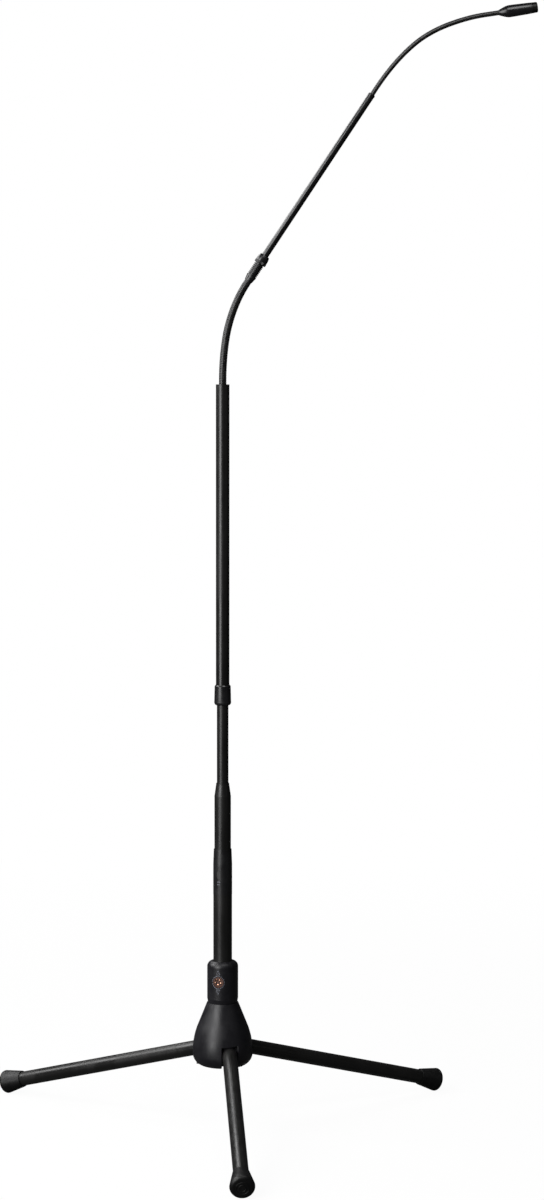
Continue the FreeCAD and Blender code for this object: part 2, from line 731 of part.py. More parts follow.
def preamp_board():
    """Impedance converter board behind the capsule."""
    width, thickness, length = BOARD
    board = Part.makeBox(width, thickness, length, V(-width / 2, -thickness / 2, HEAD_CONE + 1))
    return on_head(board)


# ---------------------------------------------------------------- parts list
def build():
    """Every node's shape, by name."""
    nodes = {
        "hub_bell": hub_bell(),
        "hub_collar": hub_collar(),
        "collar_grub_screws": Part.makeCompound([grub_screw(z) for z in GRUB_HEIGHTS]),
        "collar_badge": collar_badge(),
        "leg_pins": Part.makeCompound([turned(pin_rod(PIN_R), a) for a in LEG_AZIMUTHS]),
        "pin_keepers": Part.makeCompound([turned(b, a) for a in LEG_AZIMUTHS for b in keeper_blocks()]),
        "socket_shell": socket_shell(),
        "socket_insert": socket_insert(),
        "socket_pins": Part.makeCompound([socket_pin(angle) for angle in CONTACT_ANGLES]),
        "lower_tube": lower_tube(),
        "tube_plug": tube_plug(),
        "grip_sleeve": grip_sleeve(),
        "grip_liner": grip_liner(),
        "release_button": release_button(),
        "middle_tube": middle_tube(),
        "middle_bush": middle_bush(),
        "tube_reducer": tube_reducer(),
        "thin_tube": thin_tube(),
        "thin_bush": thin_bush(),
        "clutch_body": clutch_body(),
        "clutch_collet": clutch_collet(),
        "clutch_ring": clutch_ring(),
        "upper_tube": upper_tube(),
        "upper_plug": upper_plug(),
        "mast_lead": straight_lead(UP * LEAD_START, UP * (UPPER_TOP - PLUG_LENGTH - 2)),
        "coupling_sleeve": coupling_sleeve(),
        "coupling_nut": coupling_nut(),
        "boom_tube": boom_tube(),
        "boom_end_ring": boom_end_ring(),
        "boom_lead": straight_lead(BOOM_START - BOOM_AXIS * (BOOM_ROOT - 2), BOOM_END - BOOM_AXIS * LEAD_MARGIN),
        "head_cone": head_cone(),
        "head_body": head_body(),
        "head_grille": head_grille(),
        "capsule": capsule(),
        "capsule_seat": capsule_seat(),
        "preamp_board": preamp_board(),
    }
    for number, azimuth in enumerate(LEG_AZIMUTHS, start=1):
        nodes[f"leg_knuckle_{number}"] = place_leg(leg_knuckle(), azimuth)
        nodes[f"leg_tube_{number}"] = place_leg(leg_tube(), azimuth)
        nodes[f"foot_cap_{number}"] = on_floor(place_leg(foot_cap(), azimuth))
    nodes.update(neck_links("gooseneck_lower", LOWER_NECK_R, LOWER_POINTS, LOWER_HEADINGS,
                            LOWER_CUP, PLUG_LENGTH - 1, CONE_LENGTH + BARREL_LENGTH - RUN))
    nodes.update(neck_links("gooseneck_upper", UPPER_NECK_R, UPPER_POINTS, UPPER_HEADINGS,
                            UPPER_CUP, UPPER_ROOT, HEAD_ROOT))
    return nodes


def main():
    """Write one STEP file for each node."""
    os.makedirs("parts", exist_ok=True)
    for name, shape in build().items():
        shape.exportStep(f"parts/{name}.step")


if __name__ == "__main__":
    main()
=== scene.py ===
"""Visual model of a floor-standing gooseneck microphone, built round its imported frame.

Every length is in metres and every place is in the frame's own axes: +Z up the mast, +X the way
the boom leans.  Each sub-assembly is a class that dresses its frame nodes and makes its own pieces.
"""
import json
import logging
import math
from bisect import bisect_right
from dataclasses import dataclass, field
from enum import Enum
from typing import Any, Iterable, Optional, Sequence

import bpy
from mathutils import Matrix, Quaternion, Vector


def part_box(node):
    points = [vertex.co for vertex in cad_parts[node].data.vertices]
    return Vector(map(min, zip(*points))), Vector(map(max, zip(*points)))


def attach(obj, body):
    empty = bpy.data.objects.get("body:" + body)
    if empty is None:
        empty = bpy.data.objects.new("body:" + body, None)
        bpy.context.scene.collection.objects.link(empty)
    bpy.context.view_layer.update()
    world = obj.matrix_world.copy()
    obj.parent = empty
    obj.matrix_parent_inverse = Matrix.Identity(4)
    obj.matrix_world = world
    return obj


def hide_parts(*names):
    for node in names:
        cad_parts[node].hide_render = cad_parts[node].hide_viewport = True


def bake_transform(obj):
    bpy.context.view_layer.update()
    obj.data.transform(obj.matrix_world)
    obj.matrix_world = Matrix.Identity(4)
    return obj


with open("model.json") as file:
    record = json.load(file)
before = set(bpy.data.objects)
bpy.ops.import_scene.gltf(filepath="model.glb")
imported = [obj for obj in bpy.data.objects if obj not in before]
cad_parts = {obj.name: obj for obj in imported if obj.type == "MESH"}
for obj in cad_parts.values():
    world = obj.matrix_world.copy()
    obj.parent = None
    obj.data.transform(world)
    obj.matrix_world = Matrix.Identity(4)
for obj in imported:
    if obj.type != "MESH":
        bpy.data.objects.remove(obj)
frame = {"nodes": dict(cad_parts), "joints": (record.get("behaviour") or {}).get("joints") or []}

MM = 0.001
POLE = 1e-9
HERE = Matrix.Identity(4)
UP = Vector((0.0, 0.0, 1.0))
log = logging.getLogger("microphone")

Colour = tuple[float, float, float]
Profile = list[tuple[float, float]]


class Socket(Enum):
    """Kinds of socket on the outside of a node group."""

    NUMBER = "NodeSocketFloat"
    COUNT = "NodeSocketInt"
    VECTOR = "NodeSocketVector"
    GEOMETRY = "NodeSocketGeometry"
    MATERIAL = "NodeSocketMaterial"


class Slot(Enum):
    """Material slots of the record."""

    CAST = "cast_black"
    TUBE = "tube_black"
    BOOM = "boom_black"
    NECK = "neck_black"
    HEAD = "head_black"
    GRILLE = "grille_black"
    CLUTCH = "clutch_black"
    RUBBER = "rubber_black"
    NYLON = "nylon_black"
    COPPER = "copper"
    STEEL = "plain_steel"
    CONTACT = "contact_gold"
    BOARD = "board_green"


# ---------------------------------------------------------------- node graphs
class Graph:
    """Adds nodes to one node tree and joins them."""

    def __init__(self, tree: bpy.types.NodeTree) -> None:
        """Start from a tree.

        Args:
            tree: The tree that the nodes go into.
        """
        self.tree = tree

    def feed(self, socket: bpy.types.NodeSocket, value: Any) -> None:
        """Give an input a link or a constant.

        Args:
            socket: The input.
            value: An output socket, a node whose first output is meant, or a constant.
        """
        if isinstance(value, bpy.types.Node):
            value = value.outputs[0]
        if isinstance(value, bpy.types.NodeSocket):
            self.tree.links.new(value, socket)
        else:
            socket.default_value = value

    def add(self, kind: str, inputs: Optional[dict[Any, Any]] = None, **settings: Any) -> bpy.types.Node:
        """Make one node.

        Args:
            kind: Blender's name of the node type.
            inputs: Values or links for its inputs, by name or number.
            **settings: Properties of the node itself.

        Returns:
            The node.
        """
        node = self.tree.nodes.new(kind)
        for name, value in settings.items():
            setattr(node, name, value)
        for key, value in (inputs or {}).items():
            self.feed(node.inputs[key], value)
        return node

    def math(self, operation: str, *values: Any) -> bpy.types.NodeSocket:
        """Join numbers with one Math node.

        Args:
            operation: Blender's name of the operation.
            *values: Its inputs, in order.

        Returns:
            The result's socket.
        """
        return self.add("ShaderNodeMath", dict(enumerate(values)), operation=operation).outputs[0]

    def vector_math(self, operation: str, *values: Any) -> bpy.types.NodeSocket:
        """Join vectors with one Vector Math node.

        Args:
            operation: Blender's name of the operation.
            *values: Its inputs, in order; for SCALE the second is the factor.

        Returns:
            The result's vector socket.
        """
        keys = (0, "Scale") if operation == "SCALE" else range(len(values))
        return self.add("ShaderNodeVectorMath", dict(zip(keys, values)), operation=operation).outputs[0]

    def ramp(self, value: Any, low: float, high: float, out_low: float = 0.0, out_high: float = 1.0) -> Any:
        """Clamp and rescale a number with one smooth Map Range node.

        Args:
            value: The number.
            low: Value that gives out_low.
            high: Value that gives out_high.
            out_low: Result at low.
            out_high: Result at high.

        Returns:
            The result's socket.
        """
        inputs = {"Value": value, "From Min": low, "From Max": high, "To Min": out_low, "To Max": out_high}
        return self.add("ShaderNodeMapRange", inputs, interpolation_type="SMOOTHSTEP").outputs[0]

    def mix(self, share: Any, first: Any, second: Any) -> bpy.types.NodeSocket:
        """Mix two colours.

        Args:
            share: How much of the second.
            first: Colour at a share of 0.
            second: Colour at a share of 1.

        Returns:
            The mixed colour's socket.
        """
        return self.add("ShaderNodeMix", {0: share, 6: first, 7: second}, data_type="RGBA").outputs[2]

    def join(self, *pieces: Any) -> bpy.types.Node:
        """Join geometries.

        Args:
            *pieces: The geometries.

        Returns:
            The joining node.
        """
        node = self.add("GeometryNodeJoinGeometry")
        for piece in pieces:
            self.feed(node.inputs[0], piece)
        return node


class GroupMaker:
    """A node group under construction, with named inputs and outputs."""

    def __init__(self, name: str, kind: str, inputs: dict[str, tuple[Socket, Any]],
                 outputs: dict[str, Socket]) -> None:
        """Make the group and its outside sockets.

        Args:
            name: The group's name.
            kind: "ShaderNodeTree" or "GeometryNodeTree".
            inputs: Socket kind and default value, by name.
            outputs: Socket kind, by name.
        """
        self.tree = bpy.data.node_groups.new(name, kind)
        for label, (socket, default) in inputs.items():
            made = self.tree.interface.new_socket(name=label, in_out="INPUT", socket_type=socket.value)
            if default is not None:
                made.default_value = default
        for label, socket in outputs.items():
            self.tree.interface.new_socket(name=label, in_out="OUTPUT", socket_type=socket.value)
        self.graph = Graph(self.tree)
        self.inputs = self.tree.nodes.new("NodeGroupInput").outputs
        self.outputs = self.tree.nodes.new("NodeGroupOutput").inputs

    def give(self, label: str, value: Any) -> None:
        """Send a result to one of the group's outputs."""
        self.graph.feed(self.outputs[label], value)


# ---------------------------------------------------------------- shared surface effects
class Effects:
    """Shader groups that several finishes share."""

    def __init__(self) -> None:
        """Build each group once."""
        self.grain = self._grain()
        self.rub = self._rub()
        self.dust = self._dust()

    def _grain(self) -> bpy.types.NodeTree:
        """Fine relief of a sprayed, cast or moulded skin.

        Returns:
            The group, which puts out a relief height and a slow colour mask.
        """
        maker = GroupMaker(
            "skin_grain", "ShaderNodeTree",
            {"Vector": (Socket.VECTOR, None), "Grain Scale": (Socket.NUMBER, 900.0),
             "Mottle Scale": (Socket.NUMBER, 60.0)},
            {"Height": Socket.NUMBER, "Mottle": Socket.NUMBER})
        graph, given = maker.graph, maker.inputs
        where = given["Vector"]
        fine = graph.add("ShaderNodeTexNoise", {
            "Vector": where, "Scale": given["Grain Scale"], "Detail": 3.0})
        slow = graph.add("ShaderNodeTexNoise", {
            "Vector": where, "Scale": given["Mottle Scale"], "Detail": 5.0, "Roughness": 0.62})
        height = graph.math("MULTIPLY_ADD", slow.outputs[0], 0.35, fine.outputs[0])
        maker.give("Height", height)
        maker.give("Mottle", graph.ramp(slow.outputs[0], 0.32, 0.68))
        return maker.tree

    def _rub(self) -> bpy.types.NodeTree:
        """Sparse patches and hairlines where a coat has been rubbed.

        Returns:
            The group, which puts out a mask.
        """
        maker = GroupMaker(
            "rubbed_coat", "ShaderNodeTree",
            {"Vector": (Socket.VECTOR, None), "Patch Scale": (Socket.NUMBER, 35.0),
             "Amount": (Socket.NUMBER, 0.5)},
            {"Mask": Socket.NUMBER})
        graph, given = maker.graph, maker.inputs
        where = given["Vector"]
        patch = graph.add("ShaderNodeTexNoise", {
            "Vector": where, "Scale": given["Patch Scale"], "Detail": 6.0, "Roughness": 0.7})
        stretched = graph.vector_math("MULTIPLY", where, (1.0, 1.0, 0.06))
        hair = graph.add("ShaderNodeTexNoise", {"Vector": stretched, "Scale": 1400.0, "Detail": 2.0})
        patches = graph.ramp(patch.outputs[0], 0.62, 0.78)
        hairs = graph.ramp(hair.outputs[0], 0.66, 0.74)
        both = graph.math("MAXIMUM", patches, graph.math("MULTIPLY", hairs, 0.5))
        maker.give("Mask", graph.math("MULTIPLY", both, given["Amount"]))
        return maker.tree

    def _dust(self) -> bpy.types.NodeTree:
        """Thin dust that settles on what faces up.

        Returns:
            The group, which puts out a mask.
        """
        maker = GroupMaker(
            "settled_dust", "ShaderNodeTree",
            {"Vector": (Socket.VECTOR, None), "Normal": (Socket.VECTOR, None),
             "Amount": (Socket.NUMBER, 0.3)},
            {"Mask": Socket.NUMBER})
        graph, given = maker.graph, maker.inputs
        facing = graph.add("ShaderNodeSeparateXYZ", {0: given["Normal"]}).outputs["Z"]
        speck = graph.add("ShaderNodeTexNoise", {"Vector": given["Vector"], "Scale": 420.0, "Detail": 4.0})
        upward = graph.ramp(facing, 0.15, 0.95)
        lying = graph.math("MULTIPLY", upward, graph.ramp(speck.outputs[0], 0.40, 0.72))
        maker.give("Mask", graph.math("MULTIPLY", lying, given["Amount"]))
        return maker.tree


# ---------------------------------------------------------------- finishes
@dataclass(frozen=True)
class Finish:
    """One surface finish, as a maker would specify it."""

    name: str
    colour: Colour
    mottled: Colour
    roughness: float
    rough_spread: float = 0.06
    metallic: float = 0.0
    specular: float = 0.5
    coat: float = 0.0
    coat_roughness: float = 0.2
    grain_scale: float = 900.0
    grain_depth: float = 0.00002
    mottle_scale: float = 60.0
    rubbed: float = 0.0
    rubbed_colour: Colour = (0.05, 0.05, 0.052)
    dust: float = 0.0
    dust_colour: Colour = (0.16, 0.155, 0.15)
    stretch: Colour = (1.0, 1.0, 1.0)

    def material(self, effects: Effects) -> bpy.types.Material:
        """Build the finish.

        Args:
            effects: The shared shader groups.

        Returns:
            The material.
        """
        made = bpy.data.materials.new(self.name)
        made.use_nodes = True
        graph = Graph(made.node_tree)
        shader = made.node_tree.nodes["Principled BSDF"]
        place = graph.add("ShaderNodeTexCoord")
        where = graph.vector_math("MULTIPLY", place.outputs["Object"], self.stretch)
        sizes = {"Vector": where, "Grain Scale": self.grain_scale, "Mottle Scale": self.mottle_scale}
        grain = graph.add("ShaderNodeGroup", sizes, node_tree=effects.grain)
        colour = graph.mix(grain.outputs["Mottle"], (*self.colour, 1.0), (*self.mottled, 1.0))
        low, high = self.roughness - self.rough_spread, self.roughness + self.rough_spread
        rough = graph.ramp(grain.outputs["Mottle"], 0.0, 1.0, low, high)
        if self.rubbed:
            worn = {"Vector": where, "Amount": self.rubbed}
            rub = graph.add("ShaderNodeGroup", worn, node_tree=effects.rub)
            colour = graph.mix(rub.outputs["Mask"], colour, (*self.rubbed_colour, 1.0))
            rough = graph.math("MULTIPLY_ADD", rub.outputs["Mask"], -0.12, rough)
        if self.dust:
            still, facing = place.outputs["Object"], place.outputs["Normal"]
            dust = graph.add("ShaderNodeGroup", {"Vector": still, "Normal": facing, "Amount": self.dust},
                             node_tree=effects.dust)
            colour = graph.mix(dust.outputs["Mask"], colour, (*self.dust_colour, 1.0))
            rough = graph.math("MULTIPLY_ADD", dust.outputs["Mask"], 0.35, rough)
        relief = {"Strength": 1.0, "Distance": self.grain_depth, "Height": grain.outputs["Height"]}
        bump = graph.add("ShaderNodeBump", relief)
        for label, value in (
                ("Base Color", colour), ("Roughness", rough), ("Normal", bump.outputs[0]),
                ("Metallic", self.metallic), ("Specular IOR Level", self.specular),
                ("Coat Weight", self.coat), ("Coat Roughness", self.coat_roughness)):
            graph.feed(shader.inputs[label], value)
        return made

    @staticmethod
    def cover(graph: Graph, share: Any, colour: Colour) -> None:
        """Lay a second colour over the finish's own.

        Args:
            graph: The material's graph.
            share: How much of the second colour shows.
            colour: The second colour.
        """
        base = graph.tree.nodes["Principled BSDF"].inputs["Base Color"]
        graph.feed(base, graph.mix(share, base.links[0].from_socket, (*colour, 1.0)))


@dataclass(frozen=True)
class HammeredFinish(Finish):
    """A metal skin with small hammered facets and patina in the hollows."""

    facet_scale: float = 420.0
    patina: Colour = (0.05, 0.02, 0.012)

    def material(self, effects: Effects) -> bpy.types.Material:
        """Build the finish.

        Args:
            effects: The shared shader groups.

        Returns:
            The material.
        """
        made = super().material(effects)
        graph = Graph(made.node_tree)
        where = graph.add("ShaderNodeTexCoord").outputs["Object"]
        cells = graph.add("ShaderNodeTexVoronoi", {"Vector": where, "Scale": self.facet_scale})
        depth = cells.outputs["Distance"]
        self.cover(graph, graph.ramp(depth, 0.25, 0.75), self.patina)
        bump = graph.add("ShaderNodeBump", {"Strength": 0.6, "Distance": 0.1 * MM, "Height": depth})
        graph.feed(made.node_tree.nodes["Principled BSDF"].inputs["Normal"], bump)
        return made


@dataclass(frozen=True)
class PrintAndPaintedHighlightFinish(Finish):
    """Thin screen print whose ink has worn into specks; on the grip's dashes the same pale colour is a
    painted highlight.
    """

    ground: Colour = (0.02, 0.02, 0.022)

    def material(self, effects: Effects) -> bpy.types.Material:
        """Build the finish.

        Args:
            effects: The shared shader groups.

        Returns:
            The material.
        """
        made = super().material(effects)
        graph = Graph(made.node_tree)
        where = graph.add("ShaderNodeTexCoord").outputs["Object"]
        speck = graph.add("ShaderNodeTexNoise", {"Vector": where, "Scale": 1500.0, "Detail": 4.0})
        self.cover(graph, graph.ramp(speck.outputs[0], 0.44, 0.62), self.ground)
        return made


class Palette:
    """Every finish of the microphone, each made into a material once."""

    CAST = Finish("satin_cast_coat", (0.0062, 0.0060, 0.0078), (0.0085, 0.0083, 0.0105), 0.40,
        specular=0.42, grain_scale=1100.0, grain_depth=0.00005, mottle_scale=45.0, rubbed=0.25, dust=0.08)
    TUBE = Finish("satin_tube_coat", (0.0056, 0.0055, 0.0052), (0.0076, 0.0074, 0.0070), 0.34,
        grain_scale=700.0, grain_depth=0.000007, mottle_scale=30.0, rubbed=0.30, dust=0.08,
        stretch=(1.0, 1.0, 0.35))
    BOOM = Finish("gloss_boom_lacquer", (0.0040, 0.0040, 0.0043), (0.0055, 0.0055, 0.0058), 0.24,
        grain_scale=500.0, grain_depth=0.000008, mottle_scale=40.0, coat=0.12, coat_roughness=0.12,
        rubbed=0.20)
    NECK = Finish("wound_neck_coat", (0.0045, 0.0044, 0.0042), (0.0075, 0.0073, 0.0070), 0.30,
        grain_scale=1300.0, grain_depth=0.00002, mottle_scale=120.0, rubbed=0.45,
        rubbed_colour=(0.07, 0.07, 0.068))
    HEAD = Finish("satin_head_coat", (0.0042, 0.0042, 0.0047), (0.0060, 0.0060, 0.0066), 0.28,
        grain_scale=1800.0, grain_depth=0.000006, mottle_scale=90.0, rubbed=0.15)
    GRILLE = Finish("dull_grille_coat", (0.0025, 0.0025, 0.0025), (0.0040, 0.0040, 0.0040), 0.46,
        specular=0.3, grain_scale=2000.0, grain_depth=0.00001, mottle_scale=150.0)
    MOULDED = Finish("moulded_satin_plastic", (0.0062, 0.0062, 0.0068), (0.0080, 0.0080, 0.0088), 0.36,
        grain_scale=1500.0, grain_depth=0.00003, mottle_scale=50.0, rubbed=0.20, dust=0.08)
    RUBBER = Finish("dull_rubber", (0.0016, 0.0016, 0.0018), (0.0028, 0.0027, 0.0028), 0.44, specular=0.38,
        grain_scale=1200.0, grain_depth=0.00006, mottle_scale=70.0, dust=0.06)
    NYLON = Finish("dull_nylon", (0.0200, 0.0200, 0.0200), (0.0260, 0.0260, 0.0255), 0.55,
        grain_scale=1600.0, grain_depth=0.00003, mottle_scale=80.0)
    STEEL = Finish("ground_steel", (0.45, 0.45, 0.46), (0.52, 0.52, 0.53), 0.32, metallic=1.0,
        grain_scale=2600.0, grain_depth=0.00002, mottle_scale=200.0, stretch=(1.0, 1.0, 0.15))
    COPPER = HammeredFinish("hammered_copper", (0.85, 0.42, 0.26), (0.95, 0.62, 0.46), 0.30, metallic=1.0,
        grain_scale=2500.0, mottle_scale=500.0)
    ENAMEL = Finish("brown_badge_enamel", (0.060, 0.020, 0.012), (0.100, 0.040, 0.025), 0.35,
        grain_scale=1800.0, grain_depth=0.00002, mottle_scale=400.0)
    # Pale print of the collar; on the grip's two dashes the same pale colour is a painted highlight.
    PRINT_AND_HIGHLIGHT = PrintAndPaintedHighlightFinish("worn_pale_print", (0.34, 0.35, 0.42), (0.26, 0.27, 0.33), 0.45, mottle_scale=300.0)
    CONTACT = Finish("plated_contact", (0.80, 0.60, 0.28), (0.72, 0.52, 0.22), 0.25, metallic=1.0,
        grain_scale=3000.0, grain_depth=0.00001, mottle_scale=300.0)
    BOARD = Finish("solder_resist", (0.020, 0.110, 0.045), (0.030, 0.150, 0.060), 0.40, grain_scale=1500.0,
        grain_depth=0.00002, mottle_scale=350.0)

    def __init__(self) -> None:
        """Build the shared effects; the materials follow when they are first asked for."""
        self.effects = Effects()
        self.made: dict[str, bpy.types.Material] = {}

    def get(self, finish: Finish) -> bpy.types.Material:
        """Material of a finish, made on first use.

        Args:
            finish: The finish.

        Returns:
            Its material.
        """
        if finish.name not in self.made:
            self.made[finish.name] = finish.material(self.effects)
        return self.made[finish.name]


# ---------------------------------------------------------------- mesh helpers
def mesh_object(name: str, points: Sequence[Any], edges: Sequence[Any],
                faces: Sequence[Any]) -> bpy.types.Object:
    """Make a mesh object at the origin.

    Args:
        name: The object's name.
        points: Vertex places.
        edges: Loose edges, as pairs of vertex numbers.
        faces: Faces, as tuples of vertex numbers.

    Returns:
        The object, linked to the scene.
    """
    data = bpy.data.meshes.new(name)
    data.from_pydata([tuple(point) for point in points], edges, faces)
    data.update()
    made = bpy.data.objects.new(name, data)
    bpy.context.scene.collection.objects.link(made)
    return made


def soften(made: bpy.types.Object, angle: float = 35.0) -> bpy.types.Object:
    """Shade an object smoothly, apart from its edges sharper than an angle in degrees."""
    data = made.data
    data.polygons.foreach_set("use_smooth", [True] * len(data.polygons))
    data.set_sharp_from_angle(angle=math.radians(angle))
    data.update()
    return made


def lathe(name: str, profile: Profile, place: Matrix, sides: int = 72,
          closed: bool = False) -> bpy.types.Object:
    """Turn a profile round its Z axis.

    Args:
        name: The object's name.
        profile: Radius and height of each point, with the material on its left as it is followed upwards.
        place: Where the turned piece goes.
        sides: Facets round the axis.
        closed: Whether the last point joins the first.

    Returns:
        The object.
    """
    points: list[Vector] = []
    rings: list[list[int]] = []
    for radius, height in profile:
        count = 1 if radius < POLE else sides
        first = len(points)
        for k in range(count):
            angle = 2 * math.pi * k / sides
            points.append(place @ Vector((radius * math.cos(angle), radius * math.sin(angle), height)))
        rings.append([first + k % count for k in range(sides)])
    faces = []
    pairs = list(zip(rings, rings[1:])) + ([(rings[-1], rings[0])] if closed else [])
    for low, high in pairs:
        for k in range(sides):
            n = (k + 1) % sides
            corner = [low[k], low[n], high[n], high[k]]
            face = [c for i, c in enumerate(corner) if c != corner[i - 1]]
            if len(face) > 2:
                faces.append(face)
    return soften(mesh_object(name, points, [], faces))


def arc(centre: tuple[float, float], radius: float, start: float, end: float, steps: int = 8) -> Profile:
    """Points of a round stretch of a profile.

    Args:
        centre: Radius and height of the arc's centre.
        radius: The arc's own radius.
        start: Angle at which it starts, in degrees from outwards towards up.
        end: Angle at which it ends.
        steps: Number of chords.

    Returns:
        The points, ends included.
    """
    angles = [math.radians(start + (end - start) * k / steps) for k in range(steps + 1)]
    return [(centre[0] + radius * math.cos(a), centre[1] + radius * math.sin(a)) for a in angles]


def standing(origin: Vector, axis: Vector) -> Matrix:
    """Placement of a piece made along +Z from the origin.

    Args:
        origin: Where its origin goes.
        axis: Where its +Z points.

    Returns:
        The matrix.
    """
    turn = UP.rotation_difference(axis.normalized())
    return Matrix.Translation(origin) @ turn.to_matrix().to_4x4()


def frozen(made: bpy.types.Object) -> bpy.types.Object:
    """Turn an object's modifiers into plain mesh.

    Args:
        made: The object, whose modifiers are removed.

    Returns:
        The same object.
    """
    graph = bpy.context.evaluated_depsgraph_get()
    data = bpy.data.meshes.new_from_object(made.evaluated_get(graph))
    made.modifiers.clear()
    made.data = data
    data.name = made.name
    return made


def joined(name: str, parts: Sequence[bpy.types.Object]) -> bpy.types.Object:
    """Join several mesh objects into a new one.

    Args:
        name: The new object's name.
        parts: The objects, which are removed.

    Returns:
        The new object.
    """
    points: list[Vector] = []
    faces: list[list[int]] = []
    for part in parts:
        first = len(points)
        points.extend(vertex.co.copy() for vertex in part.data.vertices)
        faces.extend([first + v for v in face.vertices] for face in part.data.polygons)
        bpy.data.objects.remove(part)
    return soften(mesh_object(name, points, [], faces))


def run_nodes(made: bpy.types.Object, tree: bpy.types.NodeTree, values: dict[str, Any]) -> bpy.types.Object:
    """Run a Geometry Nodes tree on an object and keep the result as plain mesh.

    Args:
        made: The object.
        tree: The tree.
        values: The tree's inputs, by name.

    Returns:
        The same object.
    """
    modifier = made.modifiers.new(tree.name, "NODES")
    modifier.node_group = tree
    for item in tree.interface.items_tree:
        if item.in_out == "INPUT" and item.name in values:
            modifier[item.identifier] = values[item.name]
    return frozen(made)


def add_repeats(name: str, base: bpy.types.Object, tree: bpy.types.NodeTree,
                values: dict[str, Any]) -> bpy.types.Object:
    """Grow repeated relief on a piece with a tree, and shade the result.

    Args:
        name: The result's name.
        base: The plain piece, whose mesh the tree reads.
        tree: The tree.
        values: The tree's inputs, by name.

    Returns:
        The piece.
    """
    made = run_nodes(base, tree, values)
    made.name = name
    return soften(made)


